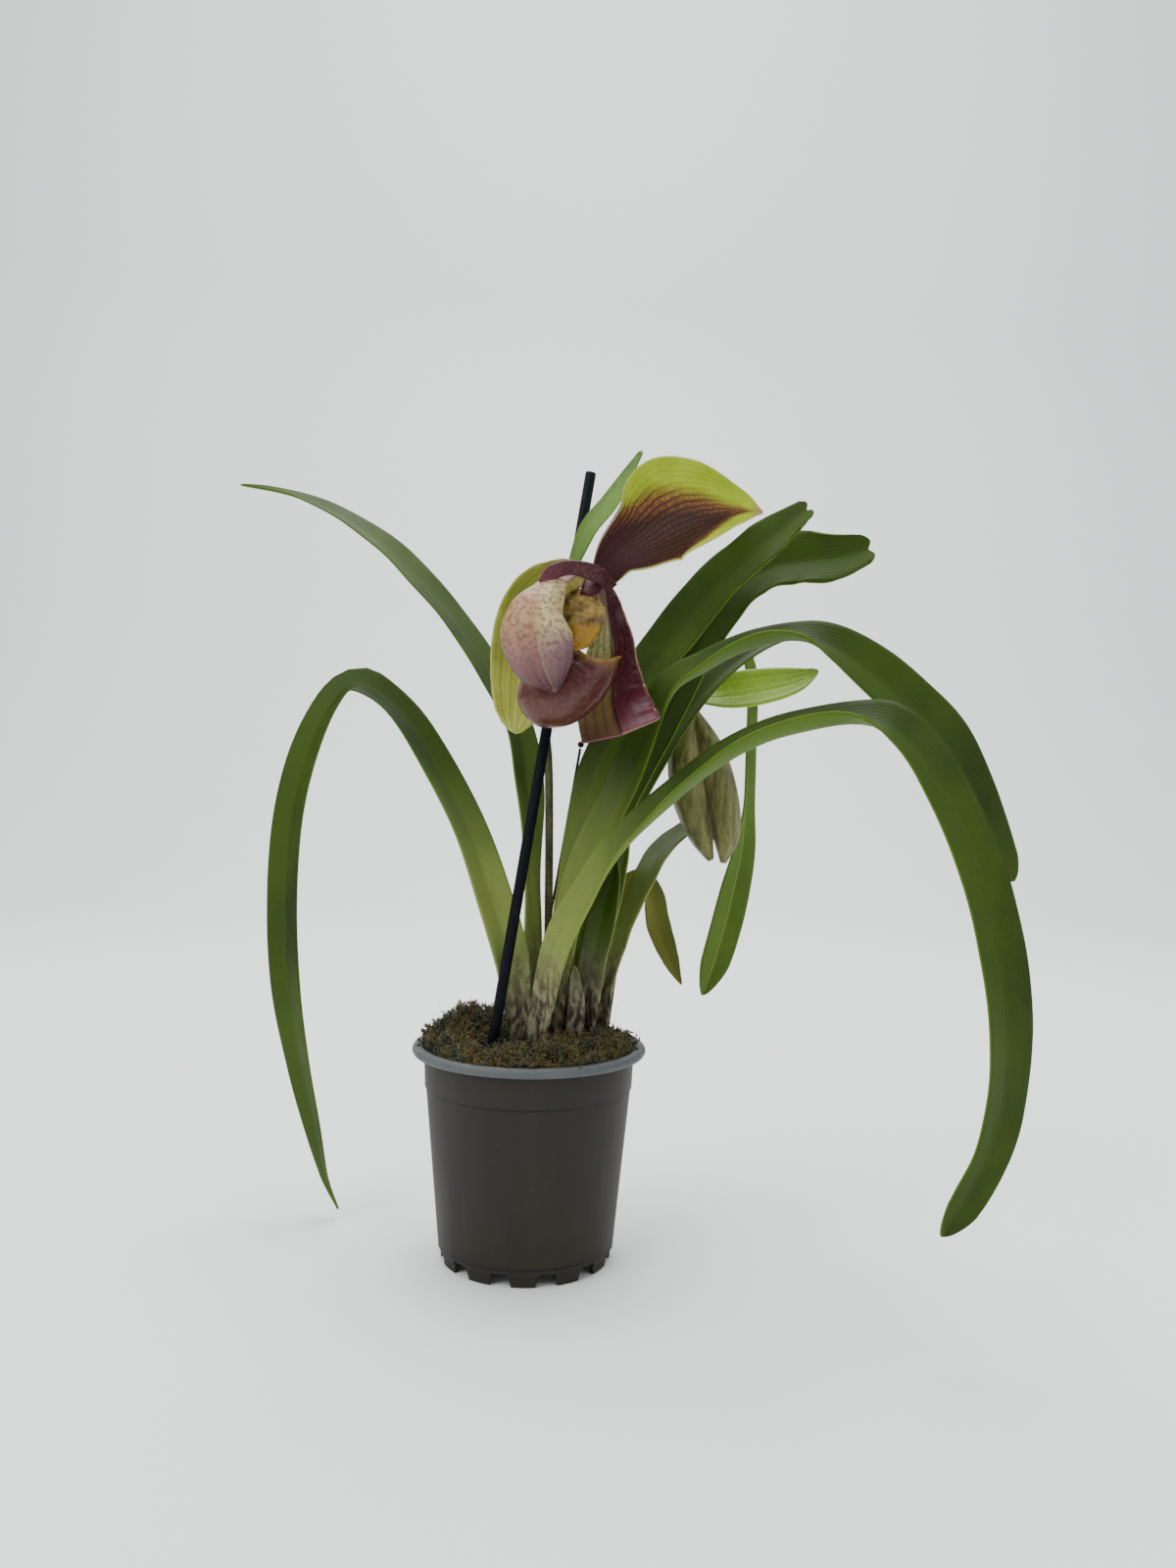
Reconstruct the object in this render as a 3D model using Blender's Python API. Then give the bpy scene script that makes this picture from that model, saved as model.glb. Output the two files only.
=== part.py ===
"""Lady's slipper orchid (Paphiopedilum) in a moulded grow pot.

Units are metres, +Z up. The origin is the centre of the pot's underside, on the
small gate pad that the moulding leaves there. +Y points away from the viewer who
sees the open flower, and +X is to that viewer's right. Routes of leaves and stems
are short lists of points in millimetres, chosen along the real plant.
"""
import math

import bmesh
import bpy
from mathutils import Matrix, Vector, noise

MM = 0.001

# Pot
RIM_RADIUS = 45.0
RIM_LEVEL = 81.5
RIM_DEPTH = 3.6
NECK_RADIUS = 40.4
SHOULDER_LEVEL = 65.5
SHOULDER_STEP = 0.5
FOOT_RADIUS = 32.6
FOOT_LEVEL = 4.0
POT_WALL = 1.1
FLOOR_THICKNESS = 1.3
GATE_RADIUS = 4.0
POT_SIDES = 48
NOTCH_HEIGHT = 3.1
NOTCHES = 12
NOTCH_WIDTH = 8.0
DRAIN_RADIUS = 3.2
DRAINS = 4
DRAIN_CIRCLE = 18.0

# Growing mix and moss mound
GAP = 0.3
MOSS_EDGE = 79.5
MOSS_CROWN = 88.0
MOSS_LUMP = 2.2

# Rhizome with its two crowns
CROWN_TOP = 82.0
CROWN_FOOT = 52.0
MAIN_CROWN = (1.37, -1.5, 15.6, 12.6)
SIDE_CROWN = (22.4, 5.6, 10.3, 13.6)
SOCKET_GROWTH = 1.2

# Blades
LEAF_THICKNESS = 0.9
PETAL_THICKNESS = 0.8
LEAF_STATIONS = 22
PETAL_STATIONS = 16

# Stems
STAKE_RADIUS = 2.1
WIRE_RADIUS = 0.5
BALL_RADIUS = 1.25


def clear_scene():
    for item in list(bpy.data.objects):
        bpy.data.objects.remove(item, do_unlink=True)


def material(name, colour, roughness):
    made = bpy.data.materials.new(name)
    made.use_nodes = True
    shader = made.node_tree.nodes["Principled BSDF"]
    shader.inputs["Base Color"].default_value = (*colour, 1.0)
    shader.inputs["Roughness"].default_value = roughness
    shader.inputs["Metallic"].default_value = 0.0
    return made


LEAF = (0.075, 0.16, 0.025)


def add_object(name, mesh, finish):
    piece = bpy.data.objects.new(name, mesh)
    bpy.context.scene.collection.objects.link(piece)
    mesh.materials.append(finish)
    return piece


def mesh_from(bm, name):
    mesh = bpy.data.meshes.new(name)
    bm.to_mesh(mesh)
    bm.free()
    return mesh


def smooth_value(values, place):
    """Catmull-Rom value of a list of equal-length tuples at a place from 0 to 1."""
    last = len(values) - 1
    along = min(max(place, 0.0), 1.0) * last
    start = min(int(along), last - 1)
    t = along - start
    before, a, b, after = (values[min(max(start + k, 0), last)] for k in (-1, 0, 1, 2))
    result = []
    for p0, p1, p2, p3 in zip(before, a, b, after):
        result.append(0.5 * (2 * p1 + (p2 - p0) * t + (2 * p0 - 5 * p1 + 4 * p2 - p3) * t * t
                             + (3 * p1 - p0 - 3 * p2 + p3) * t ** 3))
    return result


def even_places(points, count):
    """Places from 0 to 1 that are evenly spaced by length along the smooth route."""
    steps = 240
    lengths = [0.0]
    previous = Vector(smooth_value(points, 0.0)[:3])
    for k in range(1, steps + 1):
        here = Vector(smooth_value(points, k / steps)[:3])
        lengths.append(lengths[-1] + (here - previous).length)
        previous = here
    places = []
    k = 0
    for step in range(count):
        wanted = lengths[-1] * step / (count - 1)
        while k < steps - 1 and lengths[k + 1] < wanted:
            k += 1
        span = max(lengths[k + 1] - lengths[k], 1e-9)
        places.append((k + (wanted - lengths[k]) / span) / steps)
    return places


def blade(name, route, finish, thickness, stations, across, vee=0.0, wave=(0.0, 0, 0.0)):
    """A leaf, sepal or petal as a thin closed sheet.

    Each route point is x, y, z, half width, the direction that the upper face looks
    in, and how far the edges curl towards that direction, in radians.
    """
    places = even_places(route, stations)
    frames = []
    for place in places:
        x, y, z, half, nx, ny, nz, curl = smooth_value(route, place)
        ahead = Vector(smooth_value(route, min(place + 0.01, 1.0))[:3])
        behind = Vector(smooth_value(route, max(place - 0.01, 0.0))[:3])
        tangent = (ahead - behind).normalized()
        face = Vector((nx, ny, nz))
        face = (face - tangent * face.dot(tangent)).normalized()
        frames.append((Vector((x, y, z)), max(half, 0.8), tangent.cross(face), face, curl))
    height, count, phase = wave
    bm = bmesh.new()
    bmesh.ops.create_grid(bm, x_segments=across - 1, y_segments=stations - 1, size=0.5)
    for vert in bm.verts:
        v = vert.co.x * 2.0
        step = round((vert.co.y + 0.5) * (stations - 1))
        centre, half, side, face, curl = frames[step]
        bend = max(abs(curl), 1e-4)
        out = half * math.sin(v * bend) / bend * math.cos(vee)
        rise = half * (1 - math.cos(v * bend)) / bend * (1 if curl >= 0 else -1)
        rise += half * abs(v) * math.sin(vee)
        ripple = height * v * v * math.sin(2 * math.pi * count * step / (stations - 1) + phase
                                           + (1.3 if v < 0 else 0.0))
        vert.co = (centre + side * out + face * (rise + ripple)) * MM
    bmesh.ops.triangulate(bm, faces=bm.faces[:], quad_method="FIXED")
    piece = add_object(name, mesh_from(bm, name), finish)
    solid = piece.modifiers.new("Thickness", "SOLIDIFY")
    solid.thickness = thickness * MM
    solid.offset = 0.0
    return piece


def stem(name, route, radii, finish, points=24, sides=2):
    """A round stem: a smooth tube through the route, with its radius at each point."""
    curve = bpy.data.curves.new(name, "CURVE")
    curve.dimensions = "3D"
    curve.bevel_depth = MM
    curve.bevel_resolution = sides
    curve.use_fill_caps = True
    rows = [(*place, radius) for place, radius in zip(route, radii)]
    spline = curve.splines.new("POLY")
    spline.points.add(points - 1)
    for point, place in zip(spline.points, even_places(rows, points)):
        x, y, z, radius = smooth_value(rows, place)
        point.co = (x * MM, y * MM, z * MM, 1.0)
        point.radius = radius
    piece = bpy.data.objects.new(name, curve)
    bpy.context.scene.collection.objects.link(piece)
    curve.materials.append(finish)
    return piece


def fixed_stem(name, route, radii, finish, points):
    """A stem turned into a closed mesh, for a union with another solid."""
    curved = stem(name, route, radii, finish, points, 3)
    mesh = bpy.data.meshes.new_from_object(curved)
    curve = curved.data
    bpy.data.objects.remove(curved, do_unlink=True)
    bpy.data.curves.remove(curve)
    bm = bmesh.new()
    bm.from_mesh(mesh)
    bmesh.ops.remove_doubles(bm, verts=bm.verts[:], dist=1e-6)
    bm.to_mesh(mesh)
    bm.free()
    solid = bpy.data.objects.new(name, mesh)
    bpy.context.scene.collection.objects.link(solid)
    return solid


def join(piece, other):
    boolean = piece.modifiers.new(other.name, "BOOLEAN")
    boolean.operation = "UNION"
    boolean.object = other


def turned(name, profile, finish, sides):
    """A closed turned body from a profile of radius and height, both in millimetres."""
    bm = bmesh.new()
    verts = [bm.verts.new((r * MM, 0.0, z * MM)) for r, z in profile]
    edges = [bm.edges.new(pair) for pair in zip(verts, verts[1:])]
    bmesh.ops.spin(bm, geom=verts + edges, cent=(0, 0, 0), axis=(0, 0, 1),
                   angle=2 * math.pi, steps=sides, use_merge=True)
    bmesh.ops.remove_doubles(bm, verts=bm.verts[:], dist=1e-6)
    bmesh.ops.recalc_face_normals(bm, faces=bm.faces[:])
    return add_object(name, mesh_from(bm, name), finish)


def cutter(name, bm):
    piece = bpy.data.objects.new(name, mesh_from(bm, name))
    bpy.context.scene.collection.objects.link(piece)
    piece.hide_render = True
    piece.display_type = "WIRE"
    return piece


def cut(piece, tool):
    boolean = piece.modifiers.new(tool.name, "BOOLEAN")
    boolean.operation = "DIFFERENCE"
    boolean.object = tool


def oval_prism(bm, oval, low, high, growth=0.0):
    """Add an upright oval prism; the oval is x, y and its two radii, in millimetres."""
    x, y, rx, ry = oval
    place = (Matrix.Translation((x * MM, y * MM, (low + high) / 2 * MM))
             @ Matrix.Diagonal(((rx + growth) * MM, (ry + growth) * MM, (high - low) * MM, 1)))
    bmesh.ops.create_cone(bm, cap_ends=True, segments=20, radius1=1, radius2=1, depth=1,
                          matrix=place)


def build_pot(finish):
    skirt_top = FOOT_RADIUS + 0.5
    inner_foot = skirt_top - POT_WALL + 0.6
    underside = FOOT_LEVEL
    floor = FOOT_LEVEL + FLOOR_THICKNESS
    neck_low = NECK_RADIUS - SHOULDER_STEP - 0.4
    profile = [(0, 0), (GATE_RADIUS, 0), (GATE_RADIUS + 0.4, underside),
               (FOOT_RADIUS - 1.4, underside), (FOOT_RADIUS - 1.6, 0), (FOOT_RADIUS, 0),
               (FOOT_RADIUS + 0.3, FOOT_LEVEL - 0.4), (skirt_top + 0.6, FOOT_LEVEL),
               (neck_low, SHOULDER_LEVEL), (neck_low + SHOULDER_STEP, SHOULDER_LEVEL + 0.4),
               (NECK_RADIUS, RIM_LEVEL - RIM_DEPTH), (RIM_RADIUS - 0.6, RIM_LEVEL - RIM_DEPTH),
               (RIM_RADIUS, RIM_LEVEL - RIM_DEPTH + 0.8), (RIM_RADIUS, RIM_LEVEL - 1.0),
               (RIM_RADIUS - 1.0, RIM_LEVEL), (RIM_RADIUS - 3.2, RIM_LEVEL),
               (NECK_RADIUS - POT_WALL + 0.2, RIM_LEVEL - 2.2),
               (neck_low - POT_WALL, SHOULDER_LEVEL), (inner_foot, floor), (0, floor)]
    pot = turned("pot", profile, finish, POT_SIDES)
    bm = bmesh.new()
    for k in range(NOTCHES):
        turn = Matrix.Rotation(2 * math.pi * (k + 0.55) / NOTCHES, 4, "Z")
        place = Matrix.Translation((FOOT_RADIUS * MM, 0, (NOTCH_HEIGHT / 2 - 1) * MM))
        size = Matrix.Diagonal((10 * MM, NOTCH_WIDTH * MM, (NOTCH_HEIGHT + 2) * MM, 1))
        made = bmesh.ops.create_cube(bm, size=1, matrix=turn @ place @ size)
        for vert in made["verts"]:
            if vert.co.z > 0:
                flat = turn.inverted() @ vert.co
                flat.y *= 0.62
                vert.co = turn @ flat
    for k in range(DRAINS):
        turn = Matrix.Rotation(2 * math.pi * (k + 0.5) / DRAINS, 4, "Z")
        place = Matrix.Translation((DRAIN_CIRCLE * MM, 0, FOOT_LEVEL * MM))
        bmesh.ops.create_cone(bm, cap_ends=True, segments=16, radius1=DRAIN_RADIUS * MM,
                              radius2=DRAIN_RADIUS * MM, depth=8 * MM, matrix=turn @ place)
    cut(pot, cutter("pot_cutters", bm))
    return pot


def mound_height(x, y):
    """Height of the moss above a point of the pot, in millimetres."""
    radius = math.hypot(x, y) / (NECK_RADIUS - 1.5)
    dome = MOSS_EDGE + (MOSS_CROWN - MOSS_EDGE) * (1 - min(radius, 1.0) ** 2.2)
    lump = noise.noise(Vector((x, y, 3.0)) / 9.0) + 0.5 * noise.noise(Vector((x, y, 9.0)) / 4.5)
    fade = 1.0 - max(0.0, radius - 0.8) * 2.5
    return dome + MOSS_LUMP * lump * fade


def build_mix(finish):
    floor = FOOT_LEVEL + FLOOR_THICKNESS + GAP
    base = FOOT_RADIUS - POT_WALL + 0.6 + 0.5 - GAP - 0.2
    neck = NECK_RADIUS - SHOULDER_STEP - 0.4 - POT_WALL - GAP - 0.1
    top = NECK_RADIUS - POT_WALL - GAP - 0.3
    rings = 9
    profile = [(0, floor), (base, floor), (neck, SHOULDER_LEVEL), (top, MOSS_EDGE - 2.5)]
    profile += [(top * (rings - k) / rings, MOSS_CROWN) for k in range(rings + 1)]
    mix = turned("growing_mix", profile, finish, 40)
    for vert in mix.data.vertices:
        if vert.co.z > (MOSS_CROWN - 0.01) * MM:
            vert.co.z = mound_height(vert.co.x / MM, vert.co.y / MM) * MM
    bm = bmesh.new()
    bm.from_mesh(mix.data)
    bmesh.ops.triangulate(bm, faces=bm.faces[:])
    bm.to_mesh(mix.data)
    bm.free()
    for name, oval in (("main_socket", MAIN_CROWN), ("side_socket", SIDE_CROWN)):
        bm = bmesh.new()
        oval_prism(bm, oval, CROWN_FOOT - GAP, MOSS_CROWN + 12, SOCKET_GROWTH)
        cut(mix, cutter(name, bm))
    bm = bmesh.new()
    for start, end, radius in ((STAKE_ROUTE[0], STAKE_ROUTE[1], STAKE_RADIUS),
                               (WIRE_ROUTE[0], WIRE_ROUTE[1], WIRE_RADIUS)):
        first, last = Vector(start), Vector(end)
        along = (last - first).normalized()
        low = first - along * GAP
        high = first + along * 60
        turn = along.to_track_quat("Z", "Y").to_matrix().to_4x4()
        bmesh.ops.create_cone(bm, cap_ends=True, segments=12, radius1=(radius + GAP + 0.1) * MM,
                              radius2=(radius + GAP + 0.1) * MM, depth=(high - low).length * MM,
                              matrix=Matrix.Translation((low + high) / 2 * MM) @ turn)
    cut(mix, cutter("stake_holes", bm))
    return mix


def build_rhizome(finish):
    """The short woody stem that both crowns of leaves grow from."""
    bm = bmesh.new()
    oval_prism(bm, MAIN_CROWN, CROWN_FOOT, CROWN_TOP)
    main = add_object("rhizome", mesh_from(bm, "rhizome"), finish)
    bm = bmesh.new()
    oval_prism(bm, SIDE_CROWN, CROWN_FOOT, CROWN_TOP)
    join(main, cutter("side_crown", bm))


# Stake and wire pin: straight, from their lower to their upper end
STAKE_ROUTE = ((-19.5, -17.0, 42.0), (19.6, 4.0, 304.0))
WIRE_ROUTE = ((-4.5, 17.5, 58.0), (17.5, 3.0, 196.0))

# x, y, z, half width, facing x, y, z, curl
LEAVES = {
    "leaf_hanging_left": [
        (-3.5, -5, 83.2, 4, 0.2, -0.9, 0.2, 0), (-7.1, -6, 112.2, 7, 0.3, -0.9, 0.3, 0),
        (-16, 0, 137, 8.5, 0.5, -0.7, 0.5, 0.1), (-25.9, 11, 161, 8.5, 0.5, -0.65, 0.55, 0.1),
        (-38.5, 21, 183.1, 8.5, 0.4, -0.6, 0.7, 0.15),
        (-53.7, 29, 205.5, 8.5, 0.2, -0.5, 0.85, 0.2),
        (-66.8, 33, 217.6, 8.5, 0, -0.5, 0.85, 0.2),
        (-77.7, 36, 221.8, 8.5, -0.35, -0.6, 0.7, 0.2),
        (-87.6, 37, 213.4, 8.5, -0.6, -0.75, 0.3, 0.1),
        (-97.7, 38, 191.5, 8.5, -0.5, -0.85, 0.1, 0.05),
        (-103.5, 37, 163, 8.5, -0.5, -0.85, 0.1, 0), (-104.8, 36, 128.5, 8.6, -0.5, -0.85, 0, 0),
        (-102.6, 35.5, 93.7, 8.2, -0.5, -0.85, 0, 0),
        (-96.9, 35, 63.2, 7.4, -0.55, -0.8, -0.1, 0), (-90.5, 34, 37, 5.4, -0.6, -0.8, -0.1, 0),
        (-85, 33, 17, 3.6, -0.75, -0.65, -0.1, 0), (-79.8, 33, 3.6, 1.2, -0.8, -0.6, -0.1, 0)],
    "leaf_upper_left": [
        (-1.5, 0.5, 83.2, 4, 0.4, -0.9, 0.2, 0), (-0.4, 3.8, 118.5, 5.3, 0.8, -0.6, 0.1, 0),
        (-1.7, 6.2, 150.9, 5.8, 0.8, -0.5, 0.2, 0), (-3.3, 11, 177.8, 7.4, 0.6, -0.6, 0.4, 0),
        (-8.1, 19, 203.4, 7.6, 0.6, -0.6, 0.5, 0), (-20.2, 25, 225.6, 8, 0.5, -0.6, 0.6, 0),
        (-34.5, 31, 245.7, 8.5, 0.45, -0.5, 0.7, 0), (-50.3, 37, 263.9, 8.5, 0.35, -0.5, 0.8, 0),
        (-66.2, 42, 279.8, 8.5, 0.3, -0.45, 0.85, 0), (-86.3, 47, 293.9, 7.5, 0.2, -0.4, 0.9, 0),
        (-107.6, 51, 303.7, 5, 0.1, -0.4, 0.9, 0), (-131.9, 53, 308.8, 1.2, 0, -0.4, 0.9, 0)],
    "leaf_long_right_lower": [
        (3, -7.5, 83.3, 4.2, -0.2, -0.9, 0.2, 0), (10.2, -13, 119.9, 6, -0.3, -0.9, 0.3, 0.1),
        (22, -19, 141, 7.5, -0.5, -0.7, 0.5, 0.3), (33.8, -27, 158.5, 9, -0.55, -0.5, 0.7, 0.4),
        (46.7, -34, 171.8, 10, -0.5, -0.35, 0.8, 0.5),
        (63.1, -43, 186.5, 10.5, -0.4, -0.25, 0.9, 0.55),
        (79.3, -51, 196.8, 10.5, -0.25, -0.2, 0.95, 0.6),
        (95.2, -58, 201.9, 10.5, -0.05, -0.2, 0.95, 0.6),
        (110.3, -63, 204.3, 11, 0.2, -0.35, 0.9, 0.45),
        (122, -66, 201.4, 11.5, 0.45, -0.7, 0.55, 0.2),
        (133.3, -68.5, 188.9, 11, 0.5, -0.8, 0.3, 0.1),
        (145.5, -71, 164, 10.6, 0.48, -0.85, 0.2, 0),
        (152.7, -73, 140, 10.6, 0.45, -0.88, 0.1, 0), (157, -75, 114.8, 10.4, 0.45, -0.88, 0, 0),
        (157.6, -76, 96, 9.6, 0.48, -0.87, 0, 0), (156, -76, 78.5, 8.6, 0.45, -0.88, 0, 0),
        (151.9, -77, 64.5, 7.4, 0.4, -0.9, 0, 0), (145, -77.5, 51.2, 6.6, 0.35, -0.9, 0, 0),
        (137.5, -78, 38.9, 2, 0.3, -0.9, 0, 0)],
    "leaf_long_right_upper": [
        (8.5, -3, 83.2, 4, -0.3, -0.9, 0.2, 0), (12, -4, 115, 5, -0.4, -0.9, 0.3, 0),
        (20, -6, 148, 8, -0.5, -0.7, 0.4, 0.1), (36, -13, 181, 9.6, -0.5, -0.6, 0.5, 0.3),
        (49.9, -16, 214.7, 9.6, -0.5, -0.5, 0.65, 0.4),
        (63.2, -21, 224.8, 10, -0.4, -0.35, 0.8, 0.5),
        (79, -29, 232.5, 10, -0.2, -0.25, 0.9, 0.6),
        (93.8, -37.5, 235, 10, 0.05, -0.35, 0.9, 0.5),
        (106.3, -40, 231.4, 10.5, 0.3, -0.7, 0.6, 0.3),
        (120, -41.5, 222.5, 11.5, 0.35, -0.85, 0.4, 0.1),
        (133.2, -41, 211.7, 12, 0.4, -0.88, 0.3, 0),
        (145.8, -39, 199.6, 12, 0.42, -0.88, 0.25, 0),
        (156.5, -37, 183.8, 10, 0.42, -0.88, 0.2, 0),
        (165.9, -35, 167.4, 7, 0.42, -0.88, 0.2, 0),
        (174.6, -33, 150.2, 2.5, 0.42, -0.88, 0.2, 0)],
    "leaf_upright_notched": [
        (10.5, 1.5, 83.2, 4, -0.3, -0.9, 0.2, 0), (13.5, 3, 125, 6, -0.4, -0.9, 0.3, 0),
        (21.1, 0.6, 176.5, 7.4, -0.5, -0.8, 0.3, 0),
        (30.3, 0, 200.6, 8.7, -0.55, -0.75, 0.35, 0),
        (40.6, 0.5, 221.4, 10.6, -0.5, -0.75, 0.4, 0),
        (55, -1, 241.3, 11.2, -0.45, -0.8, 0.4, 0), (69.3, -6, 258.6, 10.8, -0.4, -0.8, 0.4, 0),
        (82.7, -13, 271, 10, -0.35, -0.8, 0.4, 0), (93.1, -16, 279.8, 9, -0.3, -0.85, 0.4, 0),
        (102.3, -19, 287.3, 6, -0.3, -0.85, 0.4, 0)],
    "leaf_broad_behind": [
        (15.5, 6, 82.9, 3.5, -0.2, -0.9, 0.2, 0), (19, 10, 125, 5, -0.4, -0.9, 0.2, 0),
        (33, 13, 171, 8.5, -0.5, -0.8, 0.3, 0), (54.2, 12.5, 215.3, 10.5, -0.5, -0.7, 0.4, 0),
        (64.5, 11, 239.5, 11, -0.4, -0.8, 0.4, 0), (76.3, 8, 258.4, 11, -0.2, -0.9, 0.4, 0),
        (90.3, 5, 267.8, 11, -0.1, -0.9, 0.4, 0), (105.3, 3, 271.1, 11.8, 0, -0.9, 0.35, 0),
        (118.2, 1, 272.5, 12, 0.05, -0.9, 0.35, 0), (130.5, 0, 276, 8.5, 0.05, -0.9, 0.35, 0)],
    "leaf_spoon_behind": [
        (27, 16.5, 83.2, 3, -0.2, -0.9, 0.2, 0), (24, 32, 123, 6, -0.3, -0.9, 0.2, 0),
        (34, 46, 166, 7.5, -0.5, -0.7, 0.4, 0), (58, 54, 207, 8, -0.5, -0.6, 0.6, 0),
        (77, 59, 235, 8, -0.2, -0.5, 0.8, 0), (87.5, 63, 240, 8, 0.4, -0.4, 0.8, 0),
        (91, 66, 224.5, 7.5, 0.85, -0.4, 0.2, 0), (91.4, 69, 198.9, 7.5, 0.88, -0.4, 0, 0),
        (91.3, 71, 173.9, 7.5, 0.85, -0.45, 0, 0), (90.1, 72, 153.6, 7.7, 0.6, -0.75, -0.1, 0),
        (87, 73, 135.8, 8, 0.4, -0.9, -0.1, 0), (83.5, 74, 119.3, 8, 0.3, -0.9, -0.1, 0),
        (79, 74.5, 102.8, 7.5, 0.3, -0.9, -0.2, 0), (74.4, 75, 88, 4.5, 0.3, -0.9, -0.2, 0)],
    "leaf_twisted_small": [
        (27, 1.5, 83.2, 3.2, -0.2, -0.9, 0.2, 0), (28.8, 3, 104.6, 4.8, -0.5, -0.8, 0.2, 0),
        (35.1, 6, 120.8, 5, -0.7, -0.6, 0.1, 0), (40.4, 9.5, 134, 5.6, -0.7, -0.6, 0.2, 0),
        (45.4, 14, 146.2, 6.2, -0.6, -0.7, 0.3, 0), (52.3, 26, 155.5, 6.2, -0.5, -0.7, 0.5, 0),
        (62, 38, 163.2, 5.6, -0.4, -0.6, 0.7, 0), (72.1, 46, 168.9, 4, -0.2, -0.5, 0.8, 0),
        (81.2, 52, 171.9, 1.5, 0, -0.3, 0.9, 0)],
    "leaf_dark_upright": [
        (21, -2, 83.2, 3.5, -0.2, -0.9, 0.2, 0), (24, -4.5, 112, 6, -0.4, -0.9, 0.2, 0),
        (28.5, -5.5, 135, 6, -0.4, -0.9, 0.2, 0), (32.5, -6, 153, 1.5, -0.4, -0.9, 0.2, 0)],
    "leaf_sheath_front": [
        (17.5, -5, 83.2, 3.2, -0.2, -0.9, 0, -0.4), (18, -9, 99, 3.6, -0.2, -0.9, 0, -0.4),
        (17, -10.5, 113, 1, -0.2, -0.9, 0, -0.4)],
    "leaf_pale_narrow": [
        (20, 2, 83.2, 2.6, -0.2, -0.9, 0.2, 0), (25, 1, 112, 4, -0.3, -0.9, 0.2, 0),
        (31.5, 0.5, 137, 3.5, -0.3, -0.9, 0.2, 0), (37, 1, 160, 1.2, -0.3, -0.9, 0.2, 0)],
    "leaf_hanging_small": [
        (28, 11.5, 82.9, 2.8, -0.2, -0.9, 0.2, 0), (31.5, 20, 115, 4.5, -0.3, -0.9, 0.3, 0),
        (37.8, 28, 136.5, 5.2, -0.2, -0.8, 0.5, 0), (42.7, 32, 141.9, 5.6, 0.2, -0.7, 0.7, 0),
        (47.9, 35, 136, 6.2, 0.5, -0.75, 0.4, 0), (50.7, 37, 124, 6.2, 0.5, -0.8, 0.2, 0),
        (55.5, 38, 111.2, 4.6, 0.5, -0.8, 0.1, 0), (61.6, 39, 98.7, 1.5, 0.5, -0.8, 0.1, 0)],
    "leaf_behind_right": [
        (17.5, 10.5, 83.2, 2.6, -0.2, -0.9, 0.2, 0), (20, 18, 128, 4.5, -0.4, -0.9, 0.2, 0),
        (35, 22, 166, 7, -0.5, -0.7, 0.4, 0), (49, 23, 194, 8, -0.5, -0.7, 0.5, 0),
        (66, 23, 219, 8, -0.4, -0.6, 0.7, 0), (85, 22, 236, 6.5, -0.2, -0.5, 0.8, 0),
        (104, 20, 244, 1.5, -0.1, -0.4, 0.9, 0)],
}

# Two floral bracts: the sheathing leaf below each flower
BRACTS = {
    "bract_first_flower": [
        (13.1, -9.5, 264.2, 2.2, -0.4, -0.8, 0.3, 0.2),
        (19.3, -12.5, 277.7, 4.4, -0.4, -0.8, 0.3, 0.6),
        (27.2, -15, 287.6, 4.4, -0.4, -0.8, 0.3, 0.6),
        (33.6, -16.5, 298.4, 2.6, -0.4, -0.8, 0.3, 0.5),
        (38.5, -18, 306.8, 0.8, -0.4, -0.8, 0.3, 0.5)],
    "bract_second_flower": [
        (61.6, 34.8, 218.6, 2.0, 0, -0.5, 0.8, 0.2), (77, 30, 220.5, 8.6, 0, -0.85, 0.5, 0.6),
        (92, 29, 223, 9, 0, -0.85, 0.5, 0.5), (106, 29, 226.6, 6, 0, -0.85, 0.5, 0.4),
        (115, 30, 231, 0.8, 0, -0.85, 0.5, 0.4)],
}

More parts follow.
